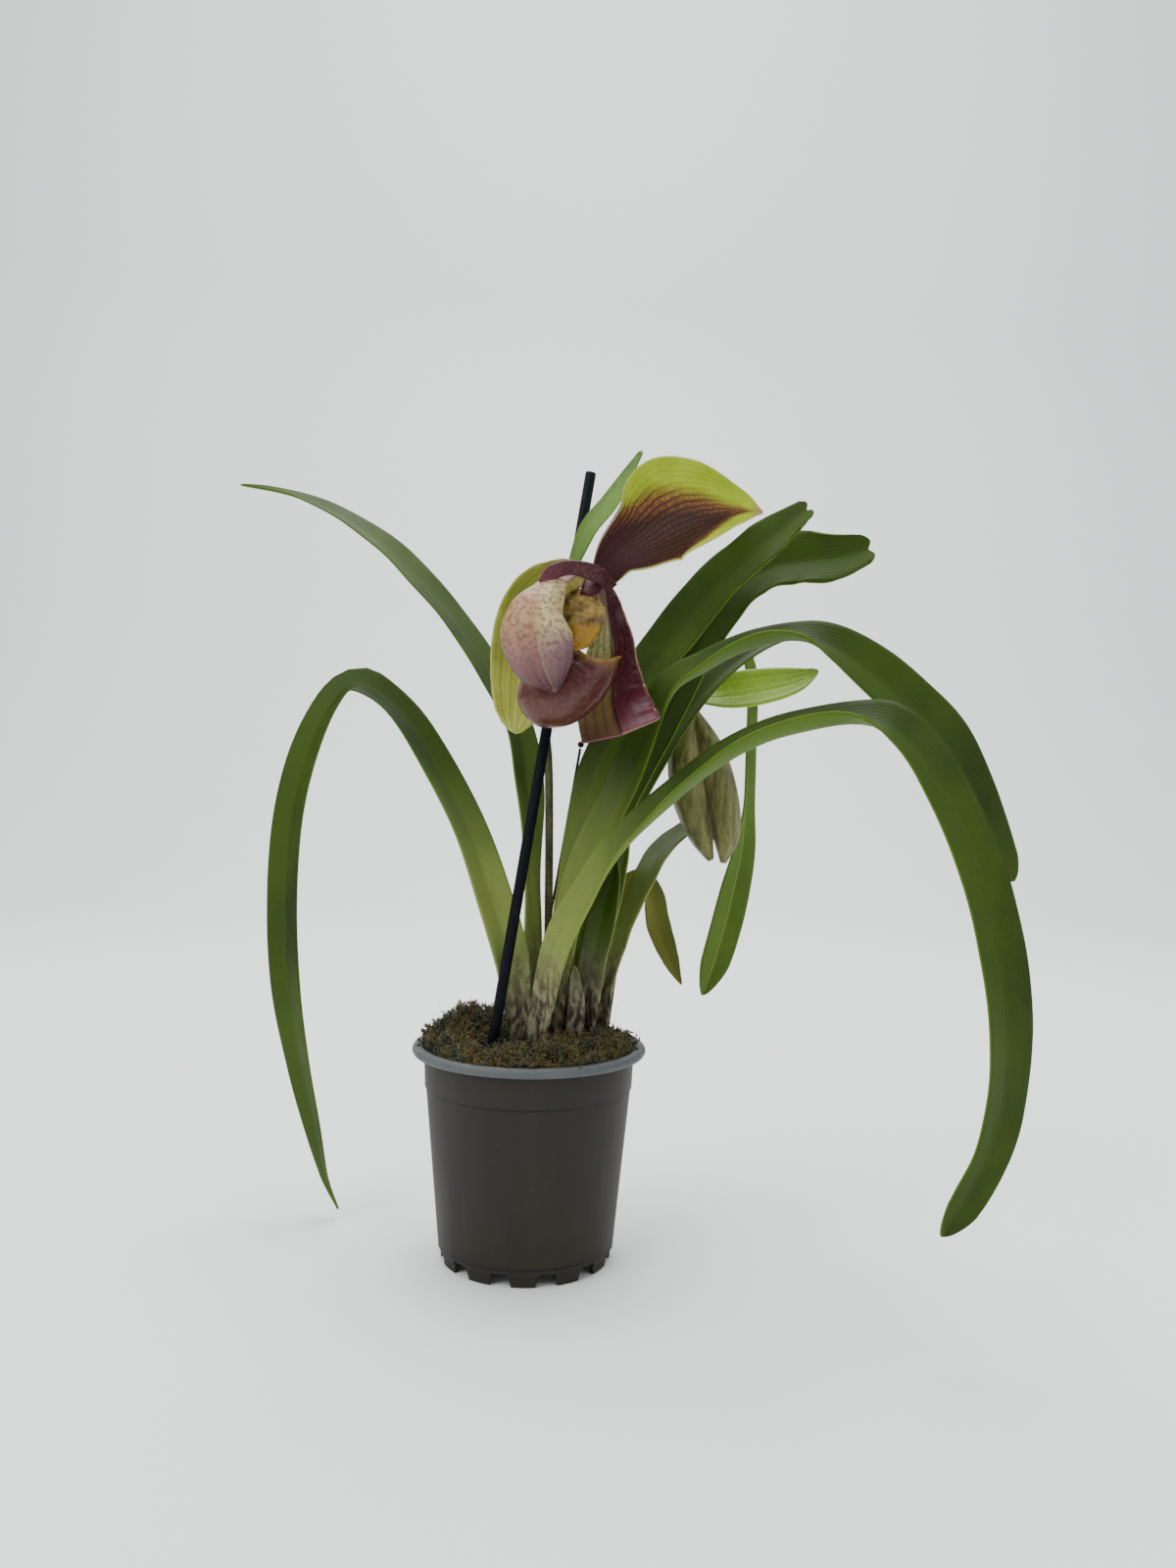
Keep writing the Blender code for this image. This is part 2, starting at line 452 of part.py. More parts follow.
# Perianth of the open flower: sepals and petals
PERIANTH = {
    "dorsal_sepal": [
        (24.4, -23.3, 261.3, 2.3, -0.3, -0.8, 0.1, 0.2),
        (30.7, -26, 266.7, 11, -0.4, -0.85, 0.1, 0.8),
        (39.7, -29, 272, 21.5, -0.35, -0.85, 0.18, 1),
        (50.1, -32, 277.3, 24.5, -0.3, -0.85, 0.17, 1.05),
        (60.3, -36, 280.1, 19.5, -0.3, -0.85, 0.15, 1.05),
        (71.1, -39, 280.6, 9, -0.3, -0.85, 0.1, 0.9),
        (80.5, -42, 279.1, 1, -0.3, -0.85, 0.2, 0.5)],
    "synsepal": [
        (18.9, -22.3, 257.1, 2, 0.3, -0.7, -0.5, 0.2), (12, -19, 259.3, 8, 0.3, -0.9, -0.3, 0.4),
        (4.4, -15, 252.5, 14.5, 0.2, -1, -0.1, 0.6), (-0.6, -13, 240.2, 16, 0.1, -1, 0, 0.65),
        (-4, -14, 224.1, 13.5, 0.1, -1, 0.1, 0.5), (-5.8, -17, 210.3, 9.5, 0.1, -1, 0.2, 0.3),
        (-6.9, -20, 201, 5.5, 0.1, -1, 0.2, 0.2)],
    "petal_left": [
        (18, -26, 260.2, 1.8, 0.2, 0.4, -0.9, 0.2), (12.3, -34, 258.1, 4, 0.2, 0.5, -0.9, 0.5),
        (6.4, -44, 253.5, 6.5, 0.1, 0.8, -0.7, 0.8),
        (3.1, -53, 245.8, 10.5, -0.1, 1, -0.3, 1.05), (2.4, -57, 236.8, 14.8, -0.1, 1, 0, 1.15),
        (3.6, -57, 227.8, 14.8, -0.1, 1, 0.2, 1.1), (6, -53, 219.6, 11, -0.1, 1, 0.4, 0.9),
        (9, -48, 213.6, 3, -0.1, 0.8, 0.6, 0.6)],
    "petal_right": [
        (25.6, -26, 255.6, 1.6, -0.1, -1, 0.1, 0.2),
        (26.7, -23.5, 249.5, 4.8, -0.2, -1, 0.1, 0.5),
        (28.5, -20, 236.9, 8.6, -0.2, -1, 0, 0.55), (29.2, -18, 222.6, 11.5, -0.2, -1, 0, 0.5),
        (30, -21.5, 210.7, 14, -0.2, -1, 0.2, 0.3),
        (33, -27, 200.3, 15.2, -0.2, -0.8, 0.6, 0.15)],
}


# The slipper's middle line from its toe to its mouth, and its radius along that line
POUCH_ROUTE = ((-3.3, -34, 207.1), (3.7, -34, 211.8), (12.4, -33.5, 217.3), (19.3, -33, 223.1),
               (21.8, -32.5, 229.5))
POUCH_PROFILE = ((0.0, 0.0), (5.6, 0.04), (9.4, 0.14), (12.0, 0.32), (12.6, 0.5), (11.6, 0.7),
                 (10.0, 0.86), (9.6, 0.94), (10.4, 1.0))
POUCH_LENGTH = 33.0
POUCH_DEPTH = 0.8
POUCH_WALL = 0.9


def build_pouch(finish):
    """The slipper: a thin cup bent upwards, with its mouth below the shield."""
    profile = [(radius, place * POUCH_LENGTH) for radius, place in POUCH_PROFILE]
    for radius, place in reversed(POUCH_PROFILE):
        profile.append((max(radius - POUCH_WALL, 0.0), max(place * POUCH_LENGTH, POUCH_WALL)))
    pouch = turned("pouch", profile, finish, 20)
    depth = Vector((0.0, 1.0, 0.0))
    for vert in pouch.data.vertices:
        x, y, z = vert.co / MM
        place = min(max(z / POUCH_LENGTH, 0.0), 1.0)
        centre = Vector(smooth_value(POUCH_ROUTE, place))
        ahead = Vector(smooth_value(POUCH_ROUTE, min(place + 0.05, 1.0)))
        behind = Vector(smooth_value(POUCH_ROUTE, max(place - 0.05, 0.0)))
        side = depth.cross(ahead - behind).normalized()
        vert.co = (centre + side * x + depth * (y * POUCH_DEPTH)) * MM
    return pouch


def build_column(finish):
    """The column, from the ovary's end, with its shield above the pouch's mouth."""
    column = fixed_stem("column_staminode", [(21.2, -20.8, 260.1), (21.6, -27, 257.5),
                                             (18.5, -35.5, 249)], (2.5, 2.7, 2.4), finish, 8)
    bm = bmesh.new()
    lean = Matrix.Rotation(math.radians(-18), 4, "X") @ Matrix.Rotation(math.radians(8), 4, "Y")
    shield = (Matrix.Translation((16.9 * MM, -36.5 * MM, 241.8 * MM)) @ lean
              @ Matrix.Diagonal((7.8 * MM, 3.2 * MM, 10.8 * MM, 1)))
    bmesh.ops.create_uvsphere(bm, u_segments=16, v_segments=10, radius=1, matrix=shield)
    join(column, cutter("shield", bm))


def build_closed_flower(finish):
    """The second flower, still folded: two long hanging lobes joined at the top."""
    left = fixed_stem("closed_flower", [(62.3, 30.4, 215), (60, 26, 198), (62, 25, 180),
                                        (67, 24, 163), (71.5, 23, 152)],
                      (2.4, 6.2, 7.2, 5.2, 1.2), finish, 16)
    right = fixed_stem("closed_flower_lobe", [(63.5, 29.8, 213), (70.5, 26, 197), (75.5, 25, 179),
                                              (77.5, 24, 163), (76.5, 23, 151)],
                       (2.2, 5.6, 6.6, 5.6, 1.2), finish, 16)
    right.hide_render = True
    right.display_type = "WIRE"
    join(left, right)


def build_stems(finishes):
    stem("stake", STAKE_ROUTE, (STAKE_RADIUS, STAKE_RADIUS), finishes["stake"], 6, 3)
    wire = WIRE_ROUTE + (tuple(Vector(WIRE_ROUTE[1]) + Vector((0.2, -0.15, WIRE_RADIUS + BALL_RADIUS - 0.2))),)
    stem("wire_pin", wire[:2], (WIRE_RADIUS, WIRE_RADIUS), finishes["stake"], 6, 1)
    bm = bmesh.new()
    bmesh.ops.create_uvsphere(bm, u_segments=10, v_segments=8, radius=BALL_RADIUS * MM,
                              matrix=Matrix.Translation(Vector(wire[2]) * MM))
    add_object("wire_pin_ball", mesh_from(bm, "wire_pin_ball"), finishes["stake"])
    stem("scape_first_flower",
         [(4.5, 6.5, 82.4), (5.6, 7, 100), (6.2, 7.5, 122), (6, 8, 151), (5.6, 8, 174),
          (5, 7, 191), (3.6, 5.5, 205), (3, 3, 220), (3.6, -0.5, 238), (6.5, -4, 252),
          (12, -9, 260), (20.2, -18.9, 260.7)],
         (1.9, 1.7, 1.6, 1.6, 1.6, 1.6, 1.6, 1.6, 1.7, 1.9, 2.5, 2.6), finishes["scape"], 34)
    stem("scape_second_flower",
         [(23.5, 7, 82.8), (24.5, 9, 100), (29, 15, 135), (38, 30, 168), (49, 39, 198),
          (57.5, 39.5, 213), (60.8, 34.6, 216.6)],
         (1.8, 1.7, 1.6, 1.6, 1.6, 1.7, 1.8), finishes["scape"], 24)


def main():
    clear_scene()
    finishes = {
        "pot": material("moulded polypropylene, grey", (0.042, 0.038, 0.034), 0.55),
        "mix": material("bark mix and moss", (0.05, 0.035, 0.012), 0.95),
        "rhizome": material("woody rhizome", (0.06, 0.03, 0.03), 0.8),
        "leaf": material("leaf blade", LEAF, 0.4),
        "bract": material("bract", (0.25, 0.38, 0.07), 0.5),
        "sepal": material("sepal", (0.35, 0.4, 0.06), 0.5),
        "petal": material("petal", (0.3, 0.16, 0.13), 0.5),
        "pouch": material("pouch", (0.22, 0.07, 0.06), 0.4),
        "column": material("staminode", (0.38, 0.26, 0.05), 0.4),
        "bud": material("closed flower", (0.11, 0.11, 0.03), 0.6),
        "scape": material("hairy scape", (0.06, 0.04, 0.02), 0.7),
        "stake": material("plastic-coated steel, blue-black", (0.008, 0.012, 0.018), 0.4),
    }
    build_pot(finishes["pot"])
    build_mix(finishes["mix"])
    build_rhizome(finishes["rhizome"])
    build_stems(finishes)
    for name, route in LEAVES.items():
        blade(name, route, finishes["leaf"], LEAF_THICKNESS, LEAF_STATIONS, 5, vee=0.3)
    for name, route in BRACTS.items():
        blade(name, route, finishes["bract"], PETAL_THICKNESS, 12, 5)
    for name, route in PERIANTH.items():
        kind = "sepal" if "sepal" in name else "petal"
        wave = (1.2, 3, 0.4) if kind == "sepal" else (0.5, 3, 0.0)
        blade(name, route, finishes[kind], PETAL_THICKNESS, PETAL_STATIONS, 9, wave=wave)
    build_pouch(finishes["pouch"])
    build_column(finishes["column"])
    build_closed_flower(finishes["bud"])


main()
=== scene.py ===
"""Looks of a potted lady's slipper orchid around its fixed construction model.

Every piece is in metres in the frame of the construction model. Routes of leaves and
petals are in millimetres, the same ones that the solids were lofted on.
"""
import logging
import math
import random
from dataclasses import dataclass, field
from enum import Enum
from typing import Callable, Sequence

import bmesh
import bpy
import numpy as np
from mathutils import Matrix, Vector, noise


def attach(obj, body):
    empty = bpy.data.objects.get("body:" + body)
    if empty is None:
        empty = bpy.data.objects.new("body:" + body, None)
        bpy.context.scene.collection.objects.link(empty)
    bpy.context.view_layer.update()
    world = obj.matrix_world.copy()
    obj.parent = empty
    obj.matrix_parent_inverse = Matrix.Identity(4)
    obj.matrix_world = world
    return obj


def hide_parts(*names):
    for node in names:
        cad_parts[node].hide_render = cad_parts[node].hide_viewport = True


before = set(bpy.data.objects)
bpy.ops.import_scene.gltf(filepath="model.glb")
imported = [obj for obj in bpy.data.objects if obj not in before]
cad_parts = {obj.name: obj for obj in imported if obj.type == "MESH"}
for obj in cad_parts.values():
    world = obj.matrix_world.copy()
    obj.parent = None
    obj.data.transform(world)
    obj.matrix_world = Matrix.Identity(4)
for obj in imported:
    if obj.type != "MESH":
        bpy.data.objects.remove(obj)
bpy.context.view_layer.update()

LOG = logging.getLogger("orchid")
MM = 0.001
BODY = "root"
Row = tuple[float, ...]
Stops = Sequence[tuple[float, str]]
Socket = bpy.types.NodeSocket
Material = bpy.types.Material

# The camera: place in metres, roll in degrees, and lens in pixels of a 1200 x 1600 frame
CAMERA_PLACE = (0.0208, -0.4573, 0.1822)
CAMERA_ROLL = 1.1
FOCAL_PIXELS = 1202.0
FRAME_HEIGHT = 1600.0
SENSOR_HEIGHT = 24.0


def linear(code: str) -> tuple[float, float, float, float]:
    """Turn an sRGB hex colour into the linear colour that shaders take, with an alpha of one."""
    parts = [int(code[k:k + 2], 16) / 255 for k in (0, 2, 4)]
    turned = [c / 12.92 if c <= 0.04045 else ((c + 0.055) / 1.055) ** 2.4 for c in parts]
    return turned[0], turned[1], turned[2], 1.0


@dataclass
class Canvas:
    """A new material: its coordinates, its shader and the colour painted on it so far."""

    name: str
    colour: Socket | str = "808080"

    def __post_init__(self) -> None:
        """Create the material and read its coordinates."""
        self.made = bpy.data.materials.new(self.name)
        self.made.use_nodes = True
        self.tree = self.made.node_tree
        self.shader = self.tree.nodes["Principled BSDF"]
        self.object = self.add("TexCoord", {}, "Object")
        self.uv = self.add("TexCoord", {}, "UV")
        self.across = self.add("SeparateXYZ", {0: self.uv})
        self.along = self.add("SeparateXYZ", {0: self.uv}, 1)
        self.depth = self.add("SeparateXYZ", {0: self.object}, 1)
        self.height = self.add("SeparateXYZ", {0: self.object}, 2)

    def feed(self, entry: Socket, value: object) -> None:
        """Feed an input with another node's socket, a hex colour or a constant."""
        if isinstance(value, Socket):
            self.tree.links.new(value, entry)
        else:
            entry.default_value = linear(value) if isinstance(value, str) else value

    def add(self, kind: str, inputs: dict | Sequence, output: int | str = 0,
            **settings: object) -> Socket:
        """Add one node with its settings and what feeds it.

        Args:
            kind: Blender's node type, without its prefix.
            inputs: Sockets, hex colours or constants, in order or by input name or number.
            output: Name or number of the wanted output.
            **settings: Properties of the node itself.

        Returns:
            The wanted output.
        """
        node = self.tree.nodes.new("ShaderNode" + kind)
        for key, value in settings.items():
            setattr(node, key, value)
        for key, value in (inputs if isinstance(inputs, dict) else dict(enumerate(inputs))).items():
            self.feed(node.inputs[key], value)
        return node.outputs[output]

    def shades(self, value: Socket, stops: Stops) -> Socket:
        """Turn a value into colours, given as places and hex codes in order."""
        ramp = self.add("ValToRGB", {0: value}).node
        elements = ramp.color_ramp.elements
        while len(elements) < len(stops):
            elements.new(0.5)
        for element, (place, code) in zip(elements, stops):
            element.position = place
            element.color = linear(code)
        return ramp.outputs[0]

    def mask(self, value: Socket, low: float, high: float) -> Socket:
        """Rise smoothly from nought at low to one at high (or fall, if low is the larger)."""
        return self.add("MapRange", (value, low, high), interpolation_type="SMOOTHSTEP")

    def scaled(self, value: Socket, factor: float, start: Socket | float) -> Socket:
        """Scale a value and add it to a start."""
        return self.add("Math", (value, factor, start), operation="MULTIPLY_ADD")

    def product(self, *terms: Socket | float) -> Socket | float:
        """Multiply masks and strengths together, from left to right."""
        result, *others = terms
        for term in others:
            result = self.add("Math", (result, term), operation="MULTIPLY")
        return result

    def paint(self, colour: Socket | str, *masks: Socket | float) -> None:
        """Lay a colour over what is painted so far, where all the masks say so."""
        self.colour = self.add("Mix", {0: self.product(*masks), 6: self.colour, 7: colour}, 2,
                               data_type="RGBA")

    def grain(self, scale: float, detail: float = 3.0, stretch: Row = (1, 1, 1),
              uv: bool = False) -> Socket:
        """Give a soft random grain, stretched on object or UV coordinates.

        Args:
            scale: Grains to a unit. On object coordinates 500 gives grains of 2 mm.
            detail: Octaves.
            stretch: Factor on each axis before the grain.
            uv: Whether to read the piece's UV map.

        Returns:
            The grain, about one half on average.
        """
        mapped = self.add("Mapping", {0: self.uv if uv else self.object, "Scale": stretch})
        return self.add("TexNoise", {0: mapped, "Scale": scale, "Detail": detail})

    def veins(self, count: float, sharp: float, wander: float = 0.01) -> Socket:
        """Draw fine veins that run along a blade, and wander a little sideways.

        Args:
            count: Veins across the blade.
            sharp: Power that narrows the veins.
            wander: Sideways wander, as a share of the width.

        Returns:
            One on a vein, nought between.
        """
        drift = self.add("Math", (self.grain(5.0, 2.0, (1, 3, 1), True), 0.5),
                         operation="SUBTRACT")
        placed = self.scaled(drift, wander * 4, self.across)
        wave = self.add("Math", (self.product(placed, count * math.tau),), operation="SINE")
        return self.add("Math", (self.scaled(wave, 0.5, 0.5), sharp), operation="POWER")

    def midline(self, outer: float, inner: float = 0.0) -> Socket:
        """Give one along a blade's middle, falling to nought at this share of the width."""
        off = self.add("Math", (self.across, 0.5), operation="SUBTRACT")
        return self.mask(self.add("Math", (off,), operation="ABSOLUTE"), outer, inner)

    def ring(self, level: float) -> Socket:
        """Give the distance above or below a level of the piece, in metres."""
        off = self.add("Math", (self.height, level), operation="SUBTRACT")
        return self.add("Math", (off,), operation="ABSOLUTE")

    def bump(self, height: Socket, strength: float, depth: float) -> None:
        """Let a height from nought to one, this many millimetres deep, tilt the surface."""
        self.feed(self.shader.inputs["Normal"], self.add(
            "Bump", {"Height": height, "Strength": strength, "Distance": depth * MM}))

    def finish(self, rough: Socket | float, **constants: float) -> Material:
        """Connect the painted colour, set the shader's inputs, and give the material.

        Args:
            rough: Roughness socket or number.
            **constants: Shader inputs by name, spaces written as underscores.

        Returns:
            The finished material.
        """
        wanted = {"Base_Color": self.colour, "Roughness": rough, **constants}
        for name, value in wanted.items():
            self.feed(self.shader.inputs[name.replace("_", " ")], value)
        return self.made


@dataclass(frozen=True)
class LeafFinish:
    """Living orchid leaf: a waxy skin over green tissue. V of its UV map is in decimetres."""

    name: str
    dark: str = "1b2a02"
    light: str = "374d07"
    base: str = "84924a"
    pale_until: float = 1.05
    underside: bool = False

    def make(self) -> Material:
        """Build the leaf material.

        Returns:
            Waxy leaf: broad colour drift, fine parallel veins, a pale sheath and a
            purple foot, as on the real plant.
        """
        canvas = Canvas(self.name)
        # The tone drifts over some 40 mm; veins lie 1.3 mm apart, coarser than real ones to show
        canvas.colour = canvas.shades(canvas.grain(24.0), [(0.3, self.dark), (0.72, self.light)])
        veins = canvas.veins(15.0, 3.0, 0.004)
        canvas.paint(self.light, veins, 0.2)
        # One half of the fold catches more light, and the midrib is dark, or pale from below
        canvas.paint(self.light, canvas.mask(canvas.across, 0.485, 0.515), 0.42)
        rib = canvas.midline(0.03 if self.underside else 0.022)
        canvas.paint(self.base if self.underside else "16290a", rib, 0.6)
        canvas.paint(self.light, canvas.midline(0.09, 0.03), 0.25)
        # Pale sheath, then the purple foot with specks of 2 mm and freckles of 1 mm above it
        wavy = canvas.scaled(canvas.grain(60.0, 2.0, (1, 1, 0.3)), 0.3, canvas.along)
        pale = canvas.mask(wavy, self.pale_until + 0.45, self.pale_until * 0.45)
        canvas.paint(self.base, pale, 0.85)
        foot = canvas.mask(wavy, 0.72, 0.3)
        canvas.paint("8a7c76", foot, 0.55)
        specks = canvas.mask(canvas.grain(520.0, 4.0, (1, 1, 0.4)), 0.36, 0.6)
        canvas.paint("2c1820", foot, specks, 0.92)
        freckles = canvas.mask(canvas.grain(1100.0, 2.0), 0.62, 0.68)
        canvas.paint("4b2c33", canvas.mask(wavy, 1.1, 0.5), freckles, 0.6)
        canvas.bump(canvas.scaled(canvas.grain(520.0), 0.35, veins), 0.35, 0.12)
        rough = canvas.scaled(canvas.grain(70.0, 2.0), 0.2, 0.52 if self.underside else 0.42)
        return canvas.finish(rough, Specular_IOR_Level=0.16, Subsurface_Weight=0.04,
                             Subsurface_Scale=0.002)


@dataclass(frozen=True)
class HoodFinish:
    """Inner face of the upper sepal: lime, with a netted maroon zone round its midvein."""

    name: str = "upper sepal, inner face"
    lime: Stops = ((0.3, "8ea41c"), (0.7, "a6b62c"))
    zone: str = "7a3e2a"
    net: str = "35101a"
    heart: str = "1c050b"

    def make(self) -> Material:
        """Build the sepal's inner face.

        Returns:
            Lime tissue; a maroon net that closes up to a dark midvein, and a maroon base.
        """
        canvas = Canvas(self.name)
        add, mask = canvas.add, canvas.mask
        canvas.colour = canvas.shades(canvas.grain(90.0), self.lime)
        # The maroon zone: its edges across the sepal close in toward foot and tip
        drift = canvas.scaled(canvas.grain(7.0, 3.0, (1, 1, 1), True), 0.1, -0.05)
        across = add("Math", (canvas.across, drift), operation="ADD")
        cube = add("Math", (canvas.along, 3.0), operation="POWER")
        left = add("Math", (1.0, canvas.along), operation="SUBTRACT")
        left = add("Math", (left, 0.001), operation="MAXIMUM")
        early = canvas.product(add("Math", (left, 3.0), operation="POWER"), 0.6)
        top = add("Math", (canvas.scaled(cube, 0.26, 0.21), early), operation="SUBTRACT")
        bottom = canvas.scaled(cube, -0.66, 1.12)
        above = add("Math", (across, top), operation="SUBTRACT")
        below = add("Math", (bottom, across), operation="SUBTRACT")
        # Veins 2.6 mm apart, and a net with meshes of 1.5 mm between them
        veins = canvas.veins(19.0, 2.2, 0.01)
        canvas.paint("6f8a1e", veins, 0.3)
        mapped = add("Mapping", {0: canvas.uv, "Scale": (30, 44, 1)})
        cells = add("TexVoronoi", {0: mapped, "Scale": 1.0}, feature="DISTANCE_TO_EDGE")
        net = mask(cells, 0.14, 0.02)
        zone = canvas.product(mask(above, -0.02, 0.16), mask(below, -0.02, 0.1))
        canvas.paint(self.zone, zone, 0.88)
        dark = add("Math", (veins, canvas.product(net, 0.8)), operation="MAXIMUM")
        canvas.paint(self.net, zone, dark, 0.9)
        canvas.paint(self.heart, mask(above, 0.14, 0.3), mask(below, 0.03, 0.2), 0.78)
        root = mask(add("Math", (canvas.along, drift), operation="ADD"), 0.4, 0.16)
        canvas.paint("34101a", root, canvas.scaled(dark, 0.5, 0.45))
        # A pale margin low on one side, and a pinkish tip
        canvas.paint("b79c84", mask(canvas.across, 0.05, 0.015), mask(canvas.along, 0.4, 0.2), 0.7)
        canvas.paint("a8756c", mask(canvas.along, 0.93, 0.99), 0.7)
        canvas.bump(canvas.scaled(net, 0.6, veins), 0.45, 0.18)
        return canvas.finish(0.5, Specular_IOR_Level=0.15, Subsurface_Weight=0.06,
                             Subsurface_Scale=0.0015)


@dataclass(frozen=True)
class PetalFinish:
    """Fresh flower tissue: soft, veined lengthwise, with colour painted along the blade."""

    name: str
    left: Stops
    right: Stops
    vein: str
    veins: float = 9.0
    vein_strength: float = 0.5
    midline: str = "3c1420"
    midline_strength: float = 0.6
    mottle: str = "7a4650"
    mottle_strength: float = 0.2
    roughness: float = 0.42
    vein_end: float = 1.4
    gloss: float = 0.02

    def make(self) -> Material:
        """Build the petal material.

        Returns:
            Soft tissue with two halves of their own colours, veins and mottling.
        """
        canvas = Canvas(self.name)
        wobble = canvas.scaled(canvas.grain(4.0, 3.0, (1, 1, 1), True), 0.16, -0.08)
        along = canvas.add("Math", (canvas.along, wobble), operation="ADD")
        across = canvas.add("Math", (canvas.across, wobble), operation="ADD")
        canvas.colour = canvas.shades(along, self.left)
        canvas.paint(canvas.shades(along, self.right), canvas.mask(across, 0.45, 0.55))
        # Blotches of 1.6 mm, veins that fade toward the tip, and cells of 1.4 mm in the relief
        mottle = canvas.mask(canvas.grain(620.0, 5.0), 0.46, 0.6)
        canvas.paint(self.mottle, mottle, self.mottle_strength)
        veins = canvas.veins(self.veins, 5.0, 0.012)
        fade = canvas.mask(along, self.vein_end, self.vein_end - 0.35)
        canvas.paint(self.vein, veins, self.vein_strength, fade)
        canvas.paint(self.midline, canvas.midline(0.03), self.midline_strength)
        canvas.bump(canvas.scaled(canvas.grain(700.0), 0.5, veins), 0.4, 0.16)
        return canvas.finish(self.roughness, Specular_IOR_Level=0.25, Subsurface_Weight=0.07,
                             Subsurface_Scale=0.0015, Coat_Weight=self.gloss,
                             Coat_Roughness=0.22)


@dataclass(frozen=True)
class MottledFinish:
    """A natural surface of two or three colours broken up at a given grain."""

    name: str
    stops: Stops
    grain: float
    roughness: float
    bump_depth: float = 0.2
    stretch: Row = (1, 1, 1)
    speck: str = ""
    sheen: float = 0.0
    specular: float = 0.4
    detail: float = 5.0

    def make(self) -> Material:
        """Build the material, with its bump at the same grain as its colour."""
        canvas = Canvas(self.name)
        value = canvas.grain(self.grain, self.detail, self.stretch)
        canvas.colour = canvas.shades(value, self.stops)
        if self.speck:
            dots = canvas.mask(canvas.grain(self.grain * 3.1, 2.0, self.stretch), 0.6, 0.68)
            canvas.paint(self.speck, dots, 0.6)
        canvas.bump(value, 0.6, self.bump_depth)
        return canvas.finish(canvas.scaled(value, 0.2, self.roughness - 0.1),
                             Specular_IOR_Level=self.specular, Sheen_Weight=self.sheen)


@dataclass(frozen=True)
class ShieldFinish:
    """Waxy golden-brown shield of the column, yellow on its low boss."""

    name: str = "staminode, waxy golden brown"
    gold: Stops = ((0.32, "35230c"), (0.46, "6e5420"), (0.66, "9c8244"))
    boss: str = "96700a"

    def make(self) -> Material:
        """Build the shield's wax."""
        canvas = Canvas(self.name)
        value = canvas.grain(260.0, 5.0)
        canvas.colour = canvas.shades(value, self.gold)
        # Only the low front of the shield, where the boss is
        canvas.paint(self.boss, canvas.mask(canvas.height, 0.2405, 0.2365),
                     canvas.mask(canvas.depth, -0.0375, -0.0395), 0.85)
        canvas.bump(value, 0.7, 0.35)
        return canvas.finish(0.4, Specular_IOR_Level=0.3, Coat_Weight=0.1, Coat_Roughness=0.2,
                             Subsurface_Weight=0.1, Subsurface_Scale=0.002)


@dataclass(frozen=True)
class PotFinish:
    """Recycled polypropylene, injection moulded: matt, with scuffs, dust and a painted highlight on
    its rim.
    """

    body: Stops = ((0.35, "201b17"), (0.7, "29231b"))
    flow: str = "35302a"
    scuff: str = "4c4844"
    rim: str = "565b5c"
    shadow: str = "0c0a08"
    soil: str = "2a241e"
    rim_level: float = 0.0782
    groove_level: float = 0.0657
    ledge_level: float = 0.0066

    def make(self) -> Material:
        """Build the pot's plastic.

        Returns:
            Matt plastic with a painted highlight on its rim, and fine scratches on its wall.
        """
        canvas = Canvas("recycled polypropylene, injection moulded")
        # Melt marks of 17 mm that run down the wall, and flat scuffs of 4 mm
        drift = canvas.grain(22.0)
        canvas.colour = canvas.shades(drift, self.body)
        canvas.paint(self.flow, canvas.mask(canvas.grain(60.0, 3.0, (1, 1, 0.15)), 0.5, 0.75), 0.25)
        scuffs = canvas.mask(canvas.grain(230.0, 4.0, (1, 1, 5.0)), 0.7, 0.8)
        canvas.paint(self.scuff, scuffs, 0.3)
        # Painted highlight: the top of the rim is painted pale blue-grey, as if light catches it
        rim = canvas.mask(canvas.height, self.rim_level - 0.0006, self.rim_level + 0.0004)
        canvas.paint(self.rim, rim, canvas.scaled(canvas.grain(160.0), 0.5, 0.55))
        # Shade in the groove under the rim and above the foot, and soil stains near the foot
        nearest = canvas.add("Math", (canvas.ring(self.groove_level),
                                      canvas.ring(self.ledge_level)), operation="MINIMUM")
        canvas.paint(self.shadow, canvas.mask(nearest, 0.0007, 0.0002), 0.7)
        soil = canvas.mask(canvas.grain(350.0, 4.0), 0.6, 0.7)
        canvas.paint(self.soil, soil, canvas.mask(canvas.height, 0.016, 0.0))
        # Moulded texture of 0.4 mm
        canvas.bump(canvas.grain(2600.0, 2.0), 0.25, 0.06)
        return canvas.finish(canvas.scaled(drift, 0.2, 0.5), Specular_IOR_Level=0.25)


class Side(Enum):
    """Which face of a blade a material is for."""

    UPPER = 0
    LOWER = 1


